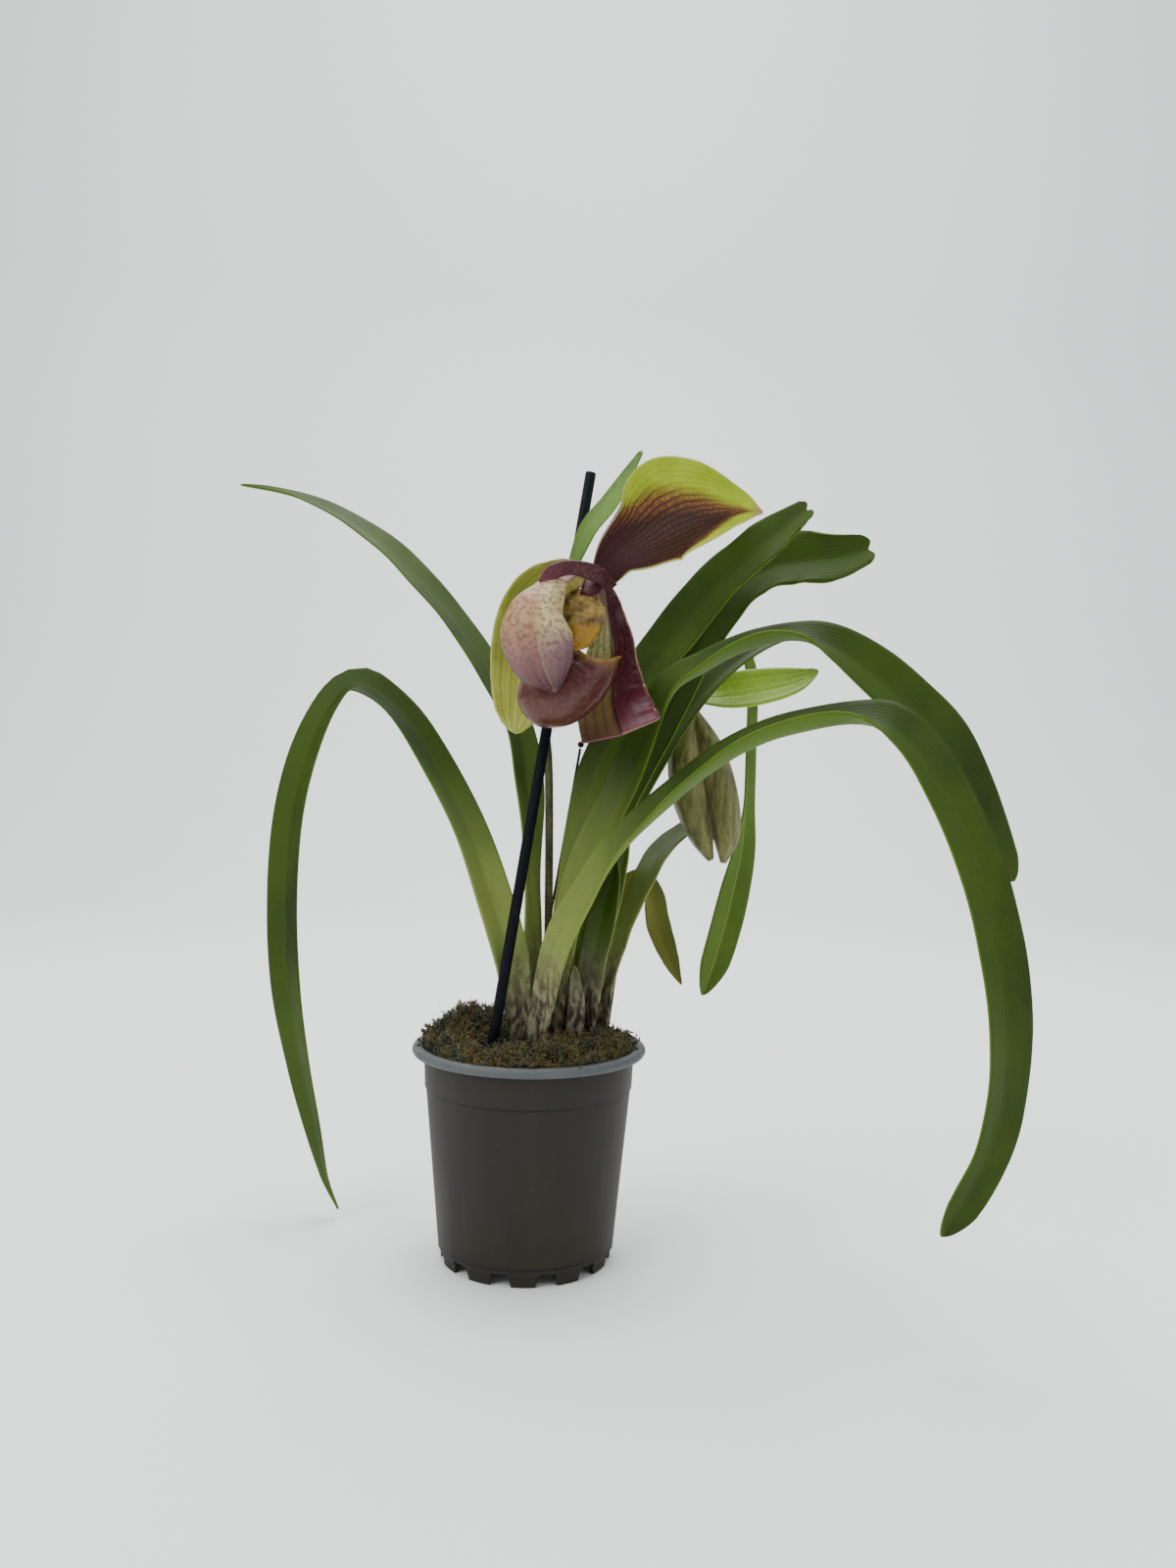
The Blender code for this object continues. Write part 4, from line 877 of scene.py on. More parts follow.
@dataclass
class Stems:
    """Both hairy flower stems, the ovary, the stake and the wire pin with its ball."""

    rng: random.Random = field(default_factory=lambda: random.Random(11))
    first: Sequence[Row] = (
        (4.5, 6.5, 82.4, 1.9), (5.6, 7, 100, 1.7), (6.2, 7.5, 122, 1.6), (6, 8, 151, 1.6),
        (5.6, 8, 174, 1.6), (5, 7, 191, 1.6), (3.6, 5.5, 205, 1.6), (3, 3, 220, 1.6),
        (3.6, -0.5, 238, 1.7), (6.5, -4, 252, 1.9), (12, -9, 260, 2.5), (20.2, -18.9, 260.7, 2.6))
    second: Sequence[Row] = (
        (23.5, 7, 82.8, 1.8), (24.5, 9, 100, 1.7), (29, 15, 135, 1.6), (38, 30, 168, 1.6),
        (49, 39, 198, 1.6), (57.5, 39.5, 213, 1.7), (60.8, 34.6, 216.6, 1.8))
    stake: Sequence[Row] = ((-19.5, -17.0, 42.0, 2.1), (19.6, 4.0, 304.0, 2.1))
    wire: Sequence[Row] = ((-4.5, 17.5, 58.0, 0.5), (17.5, 3.0, 196.0, 0.5))
    ball_radius: float = 1.25
    ball_offset: Row = (0.2, -0.15, 1.55)
    hair_length: float = 1.1
    hair_radius: float = 0.055

    def tube(self, rows: Sequence[Row], stations: int, groove: float = 0.0,
             sides: int = 20) -> bmesh.types.BMesh:
        """Loft a round tube along a route, closed at both ends.

        Args:
            rows: Rows of place and radius.
            stations: Rings along the tube.
            groove: Depth of six lengthwise ribs, as a share of the radius.
            sides: Sides of the tube.

        Returns:
            The mesh, in metres.
        """
        route = Route(rows)
        bm = bmesh.new()
        bmesh.ops.create_cone(bm, cap_ends=True, segments=sides, radius1=1, radius2=1, depth=1.0)
        long_edges = [e for e in bm.edges if abs(e.verts[0].co.z - e.verts[1].co.z) > 0.5]
        bmesh.ops.subdivide_edges(bm, edges=long_edges, cuts=stations - 2)
        frames = {}
        for vert in bm.verts:
            key = round((vert.co.z + 0.5) * (stations - 1))
            if key not in frames:
                centre, tangent, (radius,) = route.at(key / (stations - 1))
                side = sideways(tangent)
                frames[key] = (centre, side, tangent.cross(side), radius)
            centre, side, other, radius = frames[key]
            angle = math.atan2(vert.co.y, vert.co.x)
            reach = radius * (1 + groove * math.cos(6 * angle))
            vert.co = (centre + (side * math.cos(angle) + other * math.sin(angle)) * reach) * MM
        bmesh.ops.recalc_face_normals(bm, faces=bm.faces[:])
        return bm

    def hairs(self, name: str, rows: Sequence[Row], count: int, length: float, low: float,
              material: Material, slot: str) -> None:
        """Cover a stem with short soft hairs that stand out from it.

        Args:
            name: Name of the piece.
            rows: Rows of place and radius of what carries the hairs.
            count: Number of hairs.
            length: Length of a hair in millimetres.
            low: Share of the length where the hairs start.
            material: Material of the hairs.
            slot: Material slot of the record.
        """
        route = Route(rows)
        scatter = Scatter([strand_shape("hair", 3, 0, 0.0, 0.15)])
        for _ in range(count):
            share = low + (1 - low) * self.rng.random()
            centre, tangent, (radius,) = route.at(share)
            side = sideways(tangent)
            out = Matrix.Rotation(self.rng.random() * math.tau, 3, tangent) @ side
            way = (out + tangent * self.rng.uniform(-0.25, 0.35)).normalized()
            tall = length * self.rng.uniform(0.6, 1.2)
            scatter.add(0, strand_place(centre + out * (radius * 0.94), way, tall,
                                        self.hair_radius, 0.0))
        make_piece(name, scatter.bm, [material], "", slot)

    def build(self) -> None:
        """Build the stems, their hairs, the stake and the pin."""
        skin = MottledFinish("hairy stem skin, purple over green",
                             [(0.35, "241813"), (0.5, "3c3a16"), (0.7, "525a20")], 300.0, 0.62,
                             0.15, (1, 1, 0.25), "20120f").make()
        hair = MottledFinish("stem hairs, dark and pale", [(0.35, "3c2a24"), (0.65, "a89c70")],
                             500.0, 0.6, 0.02, sheen=0.3).make()
        coat = MottledFinish("stake coating, blue-black plastic",
                             [(0.3, "05080c"), (0.7, "0a1016")], 140.0, 0.55, 0.08,
                             (1, 1, 0.2), "131a20", 0.0, 0.1).make()
        for name, rows, hairs in (("scape_first_flower", self.first, 2600),
                                  ("scape_second_flower", self.second, 1200)):
            make_piece(f"{name}_stem", self.tube(rows, 90, 0.05), [skin], name, "scape")
            self.hairs(f"{name}_hairs", rows, hairs, self.hair_length, 0.08, hair, "scape")
        for name, rows, rounding in (("stake", self.stake, 0.25), ("wire_pin", self.wire, 0.1)):
            rod = self.tube(rows, 4, sides=32)
            edge = make_piece(f"{name}_rod", rod, [coat], name, "stake").modifiers.new(
                "Cut end", "BEVEL")
            edge.width = rounding * MM
            edge.segments = 2
        end = Vector(self.wire[1][:3]) + Vector(self.ball_offset)
        bm = bmesh.new()
        bmesh.ops.create_uvsphere(bm, u_segments=24, v_segments=16, radius=self.ball_radius * MM,
                                  matrix=Matrix.Translation(end * MM))
        make_piece("wire_pin_bead", bm, [coat], "wire_pin_ball", "stake")


@dataclass
class OpenFlower:
    """The open flower: sepals, petals, pouch, column and the bract behind it."""

    thickness: float = 0.7
    rng: random.Random = field(default_factory=lambda: random.Random(5))
    rows: dict = field(default_factory=lambda: {
        "bract_first_flower": [
            (13.1, -9.5, 264.2, 2.2, -0.4, -0.8, 0.3, 0.2),
            (19.3, -12.5, 277.7, 4.4, -0.4, -0.8, 0.3, 0.6),
            (27.2, -15, 287.6, 4.4, -0.4, -0.8, 0.3, 0.6),
            (33.6, -16.5, 298.4, 2.6, -0.4, -0.8, 0.3, 0.5),
            (38.5, -18, 306.8, 0.8, -0.4, -0.8, 0.3, 0.5)],
        "dorsal_sepal": [
            (25.2, -24.5, 258.8, 5.6, -0.3, -0.8, 0.1, 0.2),
            (31.4, -27, 266, 10.8, -0.4, -0.85, 0.1, 0.8),
            (40.4, -29, 271.2, 18.4, -0.35, -0.85, 0.18, 1),
            (50.1, -32, 277.3, 24.5, -0.3, -0.85, 0.17, 1.05),
            (60.3, -36, 280.1, 19.5, -0.3, -0.85, 0.15, 1.05),
            (71.1, -39, 280.6, 9, -0.3, -0.85, 0.1, 0.9),
            (80.5, -42, 279.1, 1, -0.3, -0.85, 0.2, 0.5)],
        "synsepal": [
            (18.9, -22.3, 257.1, 2, 0.3, -0.7, -0.5, 0.2),
            (12, -19, 259.3, 8, 0.3, -0.9, -0.3, 0.4), (4.4, -15, 252.5, 14.5, 0.2, -1, -0.1, 0.6),
            (-0.6, -13, 240.2, 16, 0.1, -1, 0, 0.65), (-4, -14, 224.1, 13.5, 0.1, -1, 0.1, 0.5),
            (-5.8, -17, 210.3, 9.5, 0.1, -1, 0.2, 0.3), (-6.9, -20, 201, 5.5, 0.1, -1, 0.2, 0.2)],
        "petal_left": [
            (18, -26, 260.2, 1.8, 0.2, 0.4, -0.9, 0.2), (12.3, -34, 258.1, 4, 0.2, 0.5, -0.9, 0.5),
            (6.4, -44, 253.5, 6.5, 0.1, 0.8, -0.7, 0.8),
            (3.1, -53, 245.8, 10.5, -0.1, 1, -0.3, 1.05), (2.4, -57, 236.8, 14.8, -0.1, 1, 0, 1.15),
            (3.6, -57, 227.8, 14.8, -0.1, 1, 0.2, 1.1), (6, -53, 219.6, 11, -0.1, 1, 0.4, 0.9),
            (9, -48, 213.6, 3, -0.1, 0.8, 0.6, 0.6)],
        "petal_right": [
            (25.6, -26, 255.6, 1.6, -0.1, -1, 0.1, 0.2),
            (26.7, -23.5, 249.5, 4.8, -0.2, -1, 0.1, 0.5),
            (28.5, -20, 236.9, 8.6, -0.2, -1, 0, 0.55), (29.2, -18, 222.6, 11.5, -0.2, -1, 0, 0.5),
            (30, -21.5, 210.7, 14, -0.2, -1, 0.2, 0.3),
            (33, -27, 200.3, 15.2, -0.2, -0.8, 0.6, 0.15)],
    })
    fold: Sequence[Row] = (
        (28.4, -31, 253.4, 2.0, 0, -1, -0.2, 0.4), (22.6, -38, 257.0, 3.0, 0, -1, -0.3, 0.5),
        (14, -42, 258.4, 2.6, 0, -1, -0.3, 0.5), (7.4, -43.5, 256.6, 2.6, 0, -1, -0.3, 0.5),
        (2.5, -46, 252.5, 1.6, 0, -1, -0.3, 0.4))
    cup: Sequence[Row] = ((-3.3, -34, 207.1), (3.7, -34, 211.8), (12.4, -33.5, 217.3),
                          (19.3, -33, 223.1), (21.8, -32.5, 229.5))
    cup_profile: Sequence[Row] = (
        (0, 0, 0), (5.6, 0, 0.04), (9.4, 0, 0.14), (12.0, 0, 0.32), (12.6, 0, 0.5),
        (11.6, 0, 0.7), (10.0, 0, 0.86), (9.6, 0, 0.94), (10.4, 0, 1.0))
    cup_length: float = 33.0
    cup_wall: float = 0.8
    cup_flatness: float = 0.8
    lip: float = 0.25
    ear: float = 2.4
    shield_place: Row = (16.9, -36.5, 241.2)
    shield_lean: Row = (-18.0, 8.0)
    shield_size: Row = (8.0, 3.2, 12.0)
    boss: float = 2.4
    cleft: Row = (0.16, 0.22)
    swirl: Row = (0.05, 9.0)
    lumps: Row = (0.10, 2.2)
    warts: Row = (0.10, 6.0)
    stalk: Sequence[Row] = ((21.2, -20.8, 260.1, 2.8), (22, -27, 257.3, 3.5),
                            (20.6, -31.5, 253.3, 3.4), (18.5, -35.5, 249, 2.4))

    def blade(self, name: str, inner: Material, outer: Material, slot: str,
              **form: object) -> None:
        """Build one blade from its rows.

        Args:
            name: Name of the blade and of its node.
            inner: Material of the inner face.
            outer: Material of the outer face.
            slot: Material slot of the record.
            **form: What differs from a plain blade.
        """
        form = {"stations": 90, "across": 30} | form
        Blade(name, self.rows[name], self.thickness, **form).build(inner, outer, slot)

    def sepals(self) -> None:
        """Build the hooded upper sepal and the joined lower sepals."""
        inner = HoodFinish().make()
        outer_stops = [(0.0, "8a9a50"), (1.0, "b3bf4c")]
        outer = PetalFinish("upper sepal, outer face", outer_stops, outer_stops, "5d7a2a", 12.0,
                            0.45, "5a7a2c", 0.5, "8a6a4a", 0.12, vein_end=1.3).make()
        self.blade("dorsal_sepal", inner, outer, "sepal", wave=(0.35, 2.0, 0.4), tip=0.1,
                   pleat=0.1)
        low = [(0.0, "7c6a3c"), (0.25, "8f9a34"), (1.0, "a6ab4c")]
        pale = PetalFinish("lower sepals, yellow-green", low, low, "76853c", 12.0, 0.5,
                           "7c8a40", 0.4, "a3824e", 0.25).make()
        self.blade("synsepal", pale, pale, "sepal", wave=(1.4, 3.6, 0.4), pleat=0.12)

    def petals(self) -> None:
        """Build both petals, with the colours of their two faces."""
        # Painted highlight: the cream half of the left petal's outer face is painted paler than its
        # pink half, for light falling on that side
        cream_highlight = [(0.0, "6b2438"), (0.24, "8a4a4a"), (0.34, "a99a66"), (0.6, "bdb17e"),
                 (0.76, "7e6464"), (0.95, "34202e")]
        pink = [(0.0, "6b2438"), (0.24, "8a4a4a"), (0.34, "a88a66"), (0.6, "a4825e"),
                (0.78, "785854"), (0.95, "301a28")]
        outside = PetalFinish("left petal, outer face", pink, cream_highlight, "7e5a50", 8.0, 0.22,
                              "a5a070", 0.2, "6a3a38", 0.6, 0.4).make()
        dark = [(0.0, "340c16"), (0.5, "40161c"), (0.8, "52202e"), (1.0, "6a3040")]
        green = [(0.0, "5c1c30"), (0.16, "8a7a5a"), (0.35, "a2a664"), (0.7, "746a3a"),
                 (1.0, "5a4230")]
        inside = PetalFinish("petal, inner face", dark, green, "5a1c34", 8.0, 0.55,
                             "2c0814", 0.95, "5c3a2c", 0.35, 0.34, gloss=0.16).make()
        reverse = PetalFinish("petal, outer face", [(0.0, "9a8a5a"), (1.0, "8f6a58")],
                              [(0.0, "7a4048"), (1.0, "7d4650")], "6a3040", 8.0, 0.45).make()
        self.blade("petal_left", inside, outside, "petal", wave=(0.5, 3.0, 0.0))
        self.blade("petal_right", inside, reverse, "petal", wave=(0.9, 4.0, 0.8), tip=0.02)
        fold = PetalFinish("petal base, folded over the column", dark, dark, "2c0c16", 7.0, 0.5,
                           "2c0c16", 0.3, "7a4a44", 0.3, 0.35).make()
        Blade("petal_left_fold", self.fold, self.thickness, 60, 14, tip=0.2,
              node="").build(fold, fold, "petal")

    def pouch(self) -> None:
        """Build the slipper: a thin bent cup with a rolled, eared rim."""
        path = Route(self.cup)
        outer = Route(self.cup_profile)
        length, wall, steps = self.cup_length, self.cup_wall, 44
        line = [outer.raw(k / steps) for k in range(steps + 1)]
        profile = [(max(r, 0.0), z * length) for r, _, z in line]
        profile += [(max(r - wall, 0.0), max(z * length, wall)) for r, _, z in reversed(line)]
        bm = turned(profile, 96, 1.0, 1e-4)
        layer = bm.loops.layers.uv.new("pouch")
        for face in bm.faces:
            for loop in face.loops:
                x, y, z = loop.vert.co
                loop[layer].uv = ((math.atan2(y, x) / math.tau) % 1.0, z / length)
        depth = Vector((0, 1, 0))
        for vert in bm.verts:
            x, y, z = vert.co
            share = z / length
            angle = math.atan2(y, x)
            lip = max(0.0, share - 1 + self.lip) / self.lip
            swell = 1 + 0.02 * math.sin(5 * angle + 3 * share) * (1 - lip)
            centre, tangent, _ = path.at(min(max(share, 0.0), 1.0))
            side = depth.cross(tangent).normalized()
            ear = tangent * (lip * self.ear * math.cos(2 * angle))
            y *= self.cup_flatness
            vert.co = (centre + ear + side * (x * swell) + depth * (y * swell)) * MM
        tone = [(0.0, "4c2822"), (0.6, "481f1d"), (0.86, "421a1c"), (0.94, "6c4e1e"),
                (1.0, "8a6a28")]
        finish = PetalFinish("pouch, glossy pink-brown", tone, tone, "3e1a20", 11.0, 0.25,
                             "4c2822", 0.0, "6a4030", 0.4, 0.3, gloss=0.25).make()
        piece = make_piece("pouch_slipper", bm, [finish], "pouch", "pouch")
        piece.modifiers.new("Soft", "SUBSURF").levels = 1

    def column(self) -> None:
        """Build the column and its warty golden shield with the yellow boss."""
        tilt, turn = self.shield_lean
        shield = (Matrix.Translation(Vector(self.shield_place) * MM)
                  @ Matrix.Rotation(math.radians(tilt), 4, "X")
                  @ Matrix.Rotation(math.radians(turn), 4, "Y"))
        width, thick, tall = self.shield_size
        bm = bmesh.new()
        bmesh.ops.create_uvsphere(bm, u_segments=96, v_segments=64, radius=1.0)
        for vert in bm.verts:
            x, y, z = vert.co
            cleft = self.cleft[0] * math.exp(-(x / self.cleft[1]) ** 2) * max(0.0, z)
            swirl = boss = 0.0
            if y < 0:
                swirl = self.swirl[0] * math.sin(self.swirl[1] * math.hypot(x - 0.1, z - 0.45))
                boss = 0.5 * math.exp(-((x / 0.26) ** 2 + ((z + 0.42) / 0.3) ** 2))
            lump = noise.noise(Vector((x, y, z)) * self.lumps[1]) * self.lumps[0]
            wart = noise.noise(Vector((x, y, z)) * self.warts[1] + Vector((4, 4, 4)))
            wart = abs(wart) * self.warts[0]
            grow = 1 + lump + wart - cleft + swirl
            vert.co = Vector((x * grow * width, y * grow * thick - boss * self.boss,
                              z * grow * tall)) * MM
        bmesh.ops.transform(bm, matrix=shield, verts=bm.verts[:])
        make_piece("staminode_shield", bm, [ShieldFinish().make()], "column_staminode", "column")
        stalk = Stems().tube(self.stalk, 30, 0.03, 28)
        stem = MottledFinish("column stem, maroon", [(0.3, "2c0c14"), (0.7, "54222c")], 300.0,
                             0.5, 0.1, specular=0.2).make()
        make_piece("column_stalk", stalk, [stem], "", "column")

    def margin_hairs(self) -> None:
        """Fringe the sepals and petals with fine short hairs."""
        hair = MottledFinish("petal hairs, brown and pale", [(0.3, "6a4a3c"), (0.7, "c9bd92")],
                             700.0, 0.6, 0.02).make()
        scatter = Scatter([strand_shape("margin hair", 3, 0, 0.0, 0.15)])
        for name, count, tip in (("dorsal_sepal", 260, 0.1), ("petal_right", 170, 0.02),
                                 ("petal_left", 170, 0.12), ("synsepal", 200, 0.12)):
            blade = Blade(name, self.rows[name], self.thickness, tip=tip)
            route = Route(self.rows[name])
            for _ in range(count):
                share = self.rng.uniform(0.03, 0.985)
                edge = self.rng.choice((-1.0, 1.0))
                root = blade.point(route, share, edge)
                inside = blade.point(route, share, edge * 0.9)
                way = (root - inside).normalized()
                way += Vector([self.rng.uniform(-0.35, 0.35) for _ in range(3)])
                scatter.add(0, strand_place(root - way * 0.1, way.normalized(),
                                            self.rng.uniform(0.5, 1.1), 0.05, 0.0))
        make_piece("perianth_margin_hairs", scatter.bm, [hair], "", "petal")

    def bract(self) -> None:
        """Build the pointed green bract at the back of the flower."""
        green = [(0.0, "55742a"), (0.6, "66873a"), (1.0, "4c6e30")]
        finish = PetalFinish("bract, soft green", green, green, "52702c", 7.0, 0.5,
                             "5a7a34", 0.4, "8a9a5a", 0.2, 0.45).make()
        self.blade("bract_first_flower", finish, finish, "bract", stations=70, across=14,
                   tip=0.03)

    def build(self) -> None:
        """Build the whole open flower."""
        self.bract()
        self.sepals()
        self.petals()
        self.pouch()
        self.column()
        self.margin_hairs()


@dataclass
class ClosedFlower:
    """The second flower, still folded, with its yellow-green bract."""

    left: Sequence[Row] = ((62.3, 30.4, 215, 2.4), (60, 26, 198, 6.2), (62, 25, 180, 7.2),
                           (67, 24, 163, 5.2), (71.5, 23, 152, 1.2))
    right: Sequence[Row] = ((63.5, 29.8, 213, 2.2), (70.5, 26, 197, 5.6), (75.5, 25, 179, 6.6),
                            (77.5, 24, 163, 5.6), (76.5, 23, 151, 1.2))
    bract_rows: Sequence[Row] = (
        (61.6, 34.8, 218.6, 2.0, 0, -0.5, 0.8, 0.2), (77, 30, 220.5, 8.6, 0, -0.85, 0.5, 0.6),
        (92, 29, 223, 9, 0, -0.85, 0.5, 0.5), (106, 29, 226.6, 6, 0, -0.85, 0.5, 0.4),
        (115, 30, 231, 0.8, 0, -0.85, 0.5, 0.4))

    def build(self) -> None:
        """Build the two ribbed lobes, their hairs and the bract."""
        skin = MottledFinish("closed flower skin, olive brown",
                             [(0.3, "3d3a1c"), (0.5, "66652f"), (0.72, "7f7c45")], 420.0, 0.55,
                             0.25, (1, 1, 0.2), "2c2418", 0.2).make()
        hair = MottledFinish("closed flower hairs", [(0.3, "6a5f3c"), (0.7, "a39a6a")], 500.0,
                             0.6, 0.02).make()
        maker = Stems(rng=random.Random(23))
        for index, (label, rows) in enumerate((("left", self.left), ("right", self.right))):
            bm = maker.tube(rows, 60, 0.035, 48)
            make_piece(f"closed_flower_{label}_lobe", bm, [skin],
                       "closed_flower" if index == 0 else "", "closed_flower")
            maker.hairs(f"closed_flower_{label}_hairs", rows, 900, 0.8, 0.03, hair,
                        "closed_flower")
        green = [(0.0, "7c9a26"), (0.6, "8fae34"), (1.0, "678a2a")]
        finish = PetalFinish("bract, bright yellow-green", green, green, "7a9a30", 8.0, 0.5,
                             "6f8f2c", 0.5, "b6cc66", 0.2, 0.42).make()
        Blade("bract_second_flower", self.bract_rows, 0.7, 70, 14, tip=0.04,
              pleat=0.25).build(finish, finish, "bract")


@dataclass
class GrowPot:
    """The moulded pot with its rolled rim, shoulder step and notched foot."""

    rim_radius: float = 45.0
    rim_level: float = 81.5
    rim_depth: float = 3.6
    neck: float = 40.4
    shoulder: float = 65.5
    step: float = 0.5
    foot: float = 32.6
    foot_level: float = 4.0
    wall: float = 1.1
    floor: float = 1.3
    sides: int = 192
    notches: int = 12
    notch_size: Row = (10.0, 9.5, 7.8)
    notch_taper: float = 0.62
    drains: int = 4
    drain_place: float = 18.0
    drain_radius: float = 3.2
    sharp_angle: float = 35.0

    def profile(self) -> list[tuple[float, float]]:
        """Give the turned profile, radius and height, from under the floor to inside it."""
        skirt = self.foot + 0.5
        low_neck = self.neck - self.step - 0.4
        bead = self.rim_depth / 2
        centre = (self.rim_radius - bead, self.rim_level - bead)
        arc = [(centre[0] + bead * math.cos(a), centre[1] + bead * math.sin(a))
               for a in np.linspace(-math.pi / 2, math.pi / 2, 11)]
        return [(0, 0), (4.0, 0), (4.4, self.foot_level), (self.foot - 1.4, self.foot_level),
                (self.foot - 1.5, 0.1), (self.foot - 1.4, 0), (self.foot - 0.2, 0),
                (self.foot, 0.2), (self.foot + 0.3, self.foot_level - 0.4),
                (skirt + 0.4, self.foot_level - 0.1), (skirt + 0.6, self.foot_level + 0.3),
                (low_neck, self.shoulder), (low_neck + self.step * 0.8, self.shoulder + 0.2),
                (low_neck + self.step, self.shoulder + 0.5),
                (self.neck, self.rim_level - self.rim_depth - 0.6),
                (self.neck + 0.8, self.rim_level - self.rim_depth)] + arc + [
                (self.rim_radius - 3.4, self.rim_level - 0.1),
                (self.neck - self.wall + 0.5, self.rim_level - 1.6),
                (self.neck - self.wall + 0.1, self.rim_level - 3.0),
                (low_neck - self.wall, self.shoulder),
                (skirt - self.wall + 0.6, self.foot_level + self.floor),
                (0, self.foot_level + self.floor)]

    def build(self) -> None:
        """Turn the pot, then cut the foot's notches and the drain holes."""
        bm = turned(self.profile(), self.sides)
        pot = make_piece("grow_pot", bm, [PotFinish().make()], "pot", "pot")
        bm = bmesh.new()
        for k in range(self.notches):
            turn = Matrix.Rotation(math.tau * (k + 0.55) / self.notches, 4, "Z")
            size = Matrix.Diagonal((*(v * MM for v in self.notch_size), 1))
            place = Matrix.Translation((self.foot * MM, 0, MM))
            made = bmesh.ops.create_cube(bm, size=1, matrix=turn @ place @ size)
            for vert in made["verts"]:
                if vert.co.z > 0:
                    flat = turn.inverted() @ vert.co
                    flat.y *= self.notch_taper
                    vert.co = turn @ flat
        for k in range(self.drains):
            turn = Matrix.Rotation(math.tau * (k + 0.5) / self.drains, 4, "Z")
            place = Matrix.Translation((self.drain_place * MM, 0, self.foot_level * MM))
            bmesh.ops.create_cone(bm, cap_ends=True, segments=32, radius1=self.drain_radius * MM,
                                  radius2=self.drain_radius * MM, depth=8 * MM,
                                  matrix=turn @ place)
        cutter = put("pot cuts", make_mesh("pot cuts", bm))
        cut = pot.modifiers.new("Notches", "BOOLEAN")
        cut.operation = "DIFFERENCE"
        cut.object = cutter
        shaped = bpy.data.meshes.new_from_object(
            pot.evaluated_get(bpy.context.evaluated_depsgraph_get()))
        pot.modifiers.clear()
        pot.data = shaped
        shaped.set_sharp_from_angle(angle=math.radians(self.sharp_angle))
        bpy.data.objects.remove(cutter, do_unlink=True)


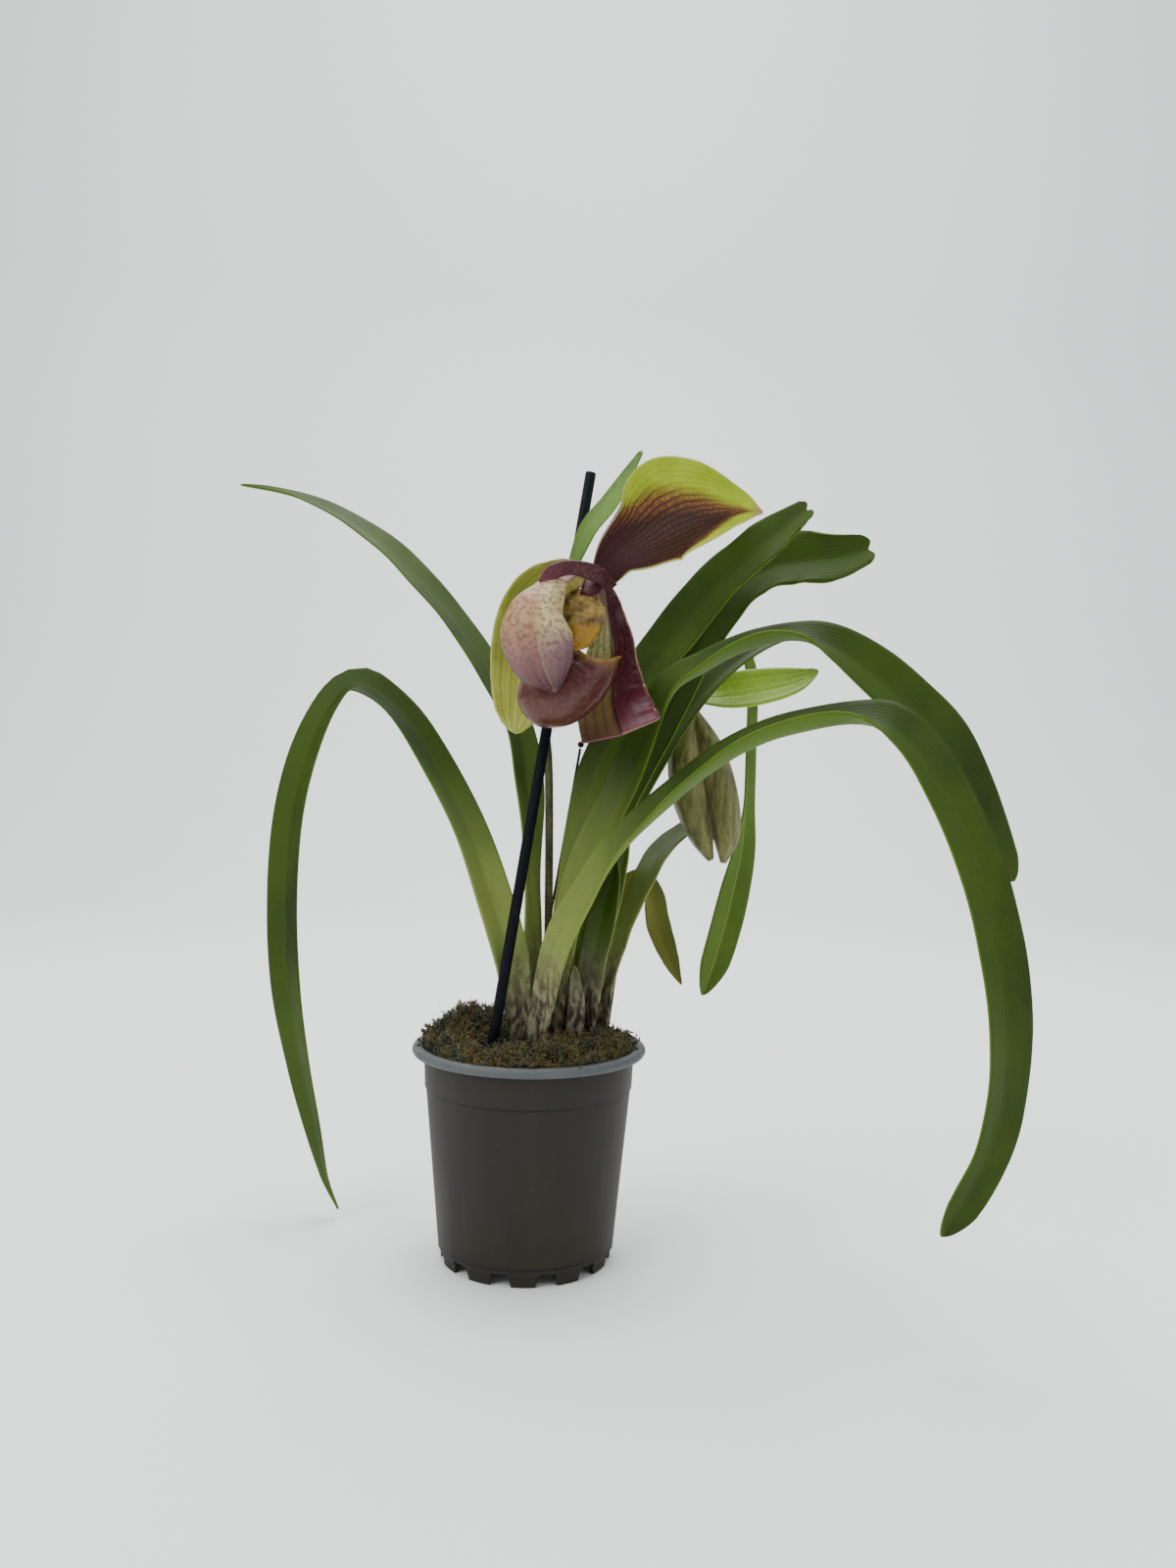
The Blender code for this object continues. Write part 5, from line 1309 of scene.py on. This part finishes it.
@dataclass
class MossBed:
    """The mossy top of the growing mix, and the mix below it."""

    neck: float = 38.5
    edge: float = 79.5
    crown: float = 84.0
    lump: float = 3.6
    rings: int = 46
    clumps: Sequence[Row] = ((-27, 6, 7.0, 12.0), (-20, 20, 6.0, 10.0), (-30, -8, 3.0, 8.0),
                             (29, 4, 3.0, 9.0), (24, -10, 2.5, 8.0), (10, 26, 4.0, 12.0),
                             (0, -16, -3.5, 8.0), (-14, -16, -3.0, 7.0))
    rng: random.Random = field(default_factory=lambda: random.Random(41))
    crowns: Sequence[Row] = ((3, -1.5, 10.5, 8.5), (22, 5.6, 8.5, 11))
    zones: Row = (-0.08, 0.12)
    sprigs: int = 3300
    sprig_height: Row = (3.0, 6.6)
    leaflets: int = 11
    strands: int = 2600
    strand_length: Row = (3.0, 8.0)
    strand_radius: float = 0.11
    stalks: int = 60
    stalk_length: Row = (7, 14)
    stalk_radius: float = 0.09

    def height(self, x: float, y: float) -> float:
        """Give the mound's height above a point of the pot, in millimetres."""
        radius = math.hypot(x, y) / (self.neck + 0.4)
        dome = self.edge + (self.crown - self.edge) * (1 - min(radius, 1.0) ** 2.2)
        lump = noise.noise(Vector((x, y, 3.0)) / 9.0)
        lump += 0.6 * noise.noise(Vector((x, y, 9.0)) / 4.5)
        fade = 1.0 - max(0.0, radius - 0.85) * 2.5
        for centre_x, centre_y, rise, reach in self.clumps:
            away = ((x - centre_x) ** 2 + (y - centre_y) ** 2) / reach ** 2
            dome += rise * math.exp(-away)
        return dome + self.lump * lump * fade

    def foot(self, x: float, y: float, sunk: float) -> Vector:
        """Give a place this many millimetres below the mound's surface."""
        return Vector((x, y, self.height(x, y) - sunk))

    def mound(self) -> None:
        """Build the mix as one closed body with a crumbly top."""
        profile = [(0, 5.6), (31.5, 5.6), (38.0, 65.5), (self.neck, self.edge - 2.5)]
        profile += [(self.neck * (self.rings - k) / self.rings, self.crown)
                    for k in range(self.rings + 1)]
        bm = turned(profile, 160)
        for vert in bm.verts:
            if vert.co.z > (self.crown - 0.01) * MM:
                x, y = vert.co.x / MM, vert.co.y / MM
                crumb = noise.noise(Vector((x, y, 1.0)) / 1.6) + 0.6 * noise.noise(
                    Vector((x, y, 5.0)) / 0.8)
                vert.co.z = (self.height(x, y) - 1.2 + crumb * 0.9) * MM
        soil = MottledFinish("damp bark mix, crumbly",
                             [(0.3, "080604"), (0.5, "140e07"), (0.7, "261b0c")], 420.0, 0.95,
                             0.6, speck="4a4218").make()
        make_piece("growing_mix_bed", bm, [soil], ("growing_mix", "rhizome"), "mix")

    def sprig_shape(self, index: int) -> bpy.types.Mesh:
        """Make one feathery moss sprig, one unit high.

        Args:
            index: Which of the sprig's forms.

        Returns:
            The mesh: a thin stalk with pointed leaflets all round it.
        """
        rng = random.Random(100 + index)
        bm = bmesh.new()
        bmesh.ops.create_cone(bm, cap_ends=True, segments=3, radius1=0.05, radius2=0.02,
                              depth=1.0, matrix=Matrix.Translation((0, 0, 0.5)))
        for k in range(self.leaflets):
            level = 0.12 + 0.83 * k / (self.leaflets - 1)
            reach = rng.uniform(0.3, 0.5) * (1.15 - level * 0.6)
            turn = (Matrix.Translation((0, 0, level)) @ Matrix.Rotation(k * 2.4, 4, "Z")
                    @ Matrix.Rotation(rng.uniform(0.5, 1.1), 4, "Y"))
            bmesh.ops.create_cone(bm, cap_ends=True, segments=3, radius1=0.075, radius2=0.0,
                                  depth=reach, matrix=turn @ Matrix.Translation(
                                      (0, 0, reach / 2)) @ Matrix.Diagonal((1, 0.35, 1, 1)))
        for vert in bm.verts:
            vert.co.x += 0.25 * vert.co.z ** 2
        return make_mesh(f"moss sprig {index}", bm)

    def spot(self, reach: float) -> tuple[float, float]:
        """Draw a place on the mound that is clear of the leaf bases."""
        while True:
            angle = self.rng.random() * math.tau
            radius = reach * math.sqrt(self.rng.random())
            x, y = radius * math.cos(angle), radius * math.sin(angle)
            if all(((x - centre_x) / wide) ** 2 + ((y - centre_y) / deep) ** 2 > 1
                   for centre_x, centre_y, wide, deep in self.crowns):
                return x, y

    def moss(self) -> None:
        """Cover the mound with sprigs in olive, brown and green."""
        tones = {"olive": ("1e2006", "585a10"), "brown": ("2a2006", "70590f"),
                 "green": ("080e02", "243808")}
        for index, (tone, (dark, light)) in enumerate(tones.items()):
            finish = MottledFinish(f"moss, {tone}", [(0.3, dark), (0.7, light)], 300.0, 0.85,
                                   0.05, sheen=0.15).make()
            scatter = Scatter([self.sprig_shape(k + index * 3) for k in range(3)])
            wanted = self.sprigs // 3
            while wanted:
                x, y = self.spot(self.neck + 0.6)
                zone = noise.noise(Vector((x, y, 17.0)) / 7.5) * 1.5
                zone += self.rng.uniform(-0.25, 0.25)
                if sum(zone >= limit for limit in self.zones) != index:
                    continue
                wanted -= 1
                lean = Vector((x, y, 0)) / self.neck * 0.5
                way = Vector((self.rng.uniform(-0.8, 0.8), self.rng.uniform(-0.8, 0.8), 0.75))
                size = self.rng.uniform(*self.sprig_height)
                scatter.add(self.rng.randrange(3), strand_place(
                    self.foot(x, y, 1.6), (way + lean).normalized(), size,
                    size, self.rng.random() * math.tau))
            make_piece(f"moss_{tone}", scatter.bm, [finish], "", "mix")

    def fibres(self) -> None:
        """Lay loose brown fibres over the moss, and stand a few thin stalks up."""
        finish = MottledFinish("dry moss fibres, straw brown", [(0.3, "46320c"), (0.7, "8a6a20")],
                               260.0, 0.8, 0.05).make()
        scatter = Scatter([strand_shape(f"fibre {k}", 3, 4, bow, 0.3)
                           for k, bow in enumerate((0.25, 0.5, -0.35))])
        for k in range(self.strands):
            x, y = self.spot(self.neck + 0.2)
            flat = Vector((self.rng.uniform(-1, 1), self.rng.uniform(-1, 1),
                           self.rng.uniform(0.05, 0.7))).normalized()
            scatter.add(k % 3, strand_place(self.foot(x, y, 0.6), flat,
                                            self.rng.uniform(*self.strand_length),
                                            self.strand_radius, self.rng.random() * math.tau))
        for k in range(self.stalks):
            angle = self.rng.random() * math.tau
            radius = self.rng.uniform(28, self.neck)
            x, y = radius * math.cos(angle), radius * math.sin(angle)
            way = Vector((x * 0.006, y * 0.006, 1.0)) + Vector(
                [self.rng.uniform(-0.35, 0.35) for _ in range(3)])
            scatter.add(k % 3, strand_place(self.foot(x, y, 1.0), way.normalized(),
                                            self.rng.uniform(*self.stalk_length),
                                            self.stalk_radius, self.rng.random() * math.tau))
        make_piece("moss_fibres", scatter.bm, [finish], "", "mix")

    def build(self) -> None:
        """Build the mix, the moss and the fibres."""
        self.mound()
        self.moss()
        self.fibres()


@dataclass
class Studio:
    """The camera at its fitted place, the pale floor and the soft lights."""

    floor_size: float = 9.0
    floor_gap: float = 0.0002
    wall_place: float = 1.1
    bend: float = 0.6

    def camera(self) -> None:
        """Stand a level camera, rolled a little, with the photograph's field of view."""
        data = bpy.data.cameras.new("camera")
        data.sensor_fit = "VERTICAL"
        data.sensor_height = SENSOR_HEIGHT
        data.lens = SENSOR_HEIGHT * FOCAL_PIXELS / FRAME_HEIGHT
        data.clip_start = 0.01
        camera = put("camera", data)
        roll = math.radians(CAMERA_ROLL)
        right = Vector((math.cos(roll), 0, math.sin(roll)))
        up = Vector((-math.sin(roll), 0, math.cos(roll)))
        back = Vector((0, -1, 0))
        turn = Matrix((right, up, back)).transposed().to_4x4()
        camera.matrix_world = Matrix.Translation(CAMERA_PLACE) @ turn
        bpy.context.scene.camera = camera

    def stage(self) -> None:
        """Lay the floor and its upswept backdrop."""
        bm = bmesh.new()
        bmesh.ops.create_grid(bm, x_segments=2, y_segments=60, size=self.floor_size / 2)
        for vert in bm.verts:
            past = vert.co.y - self.wall_place
            if past > 0:
                angle = min(past / self.bend, math.pi / 2)
                rise = max(past - self.bend * math.pi / 2, 0.0)
                vert.co.y = self.wall_place + self.bend * math.sin(angle)
                vert.co.z = self.bend * (1 - math.cos(angle)) + rise
        mesh = make_mesh("floor", bm)
        mesh.shade_smooth()
        floor = put("floor", mesh)
        floor.location.z = -self.floor_gap
        mesh.materials.append(Canvas("matt paper, pale", "f2f3f3").finish(0.9))

    def light(self, name: str, place: Row, aim: Row, size: float, power: float,
              colour: str = "ffffff") -> None:
        """Hang one square area light.

        Args:
            name: Name of the light.
            place: Where it hangs.
            aim: Point it looks at.
            size: Side in metres.
            power: Watts.
            colour: Hex colour.
        """
        data = bpy.data.lights.new(name, "AREA")
        data.size = size
        data.energy = power
        data.color = linear(colour)[:3]
        lamp = put(name, data)
        lamp.location = place
        look = (Vector(aim) - Vector(place)).to_track_quat("-Z", "Y")
        lamp.rotation_euler = look.to_euler()

    def build(self) -> None:
        """Build the whole studio."""
        self.camera()
        self.stage()
        self.light("window", (-0.9, -0.9, 1.1), (0.02, 0, 0.17), 1.0, 17.0)
        self.light("fill", (1.2, -0.6, 0.8), (0.02, 0, 0.17), 1.2, 6.0, "f4f6ff")
        self.light("top", (0.1, 0.5, 1.5), (0.02, 0, 0.15), 1.4, 16.0)
        self.light("backdrop", (0.0, 0.35, 1.9), (0.02, 1.5, 0.5), 1.6, 30.0)
        world = bpy.data.worlds.new("soft room")
        world.use_nodes = True
        bpy.context.scene.world = world
        ground = world.node_tree.nodes["Background"]
        ground.inputs[0].default_value = linear("dfe3e6")
        ground.inputs[1].default_value = 0.7


def main() -> None:
    """Build the plant, the pot and the studio in order."""
    logging.basicConfig(level=logging.INFO, format="%(name)s: %(message)s")
    builders: list[Callable[[], None]] = [
        Studio().build, GrowPot().build, MossBed().build, Foliage().build, Stems().build,
        OpenFlower().build, ClosedFlower().build]
    for build in builders:
        build()


if __name__ == "__main__":
    main()
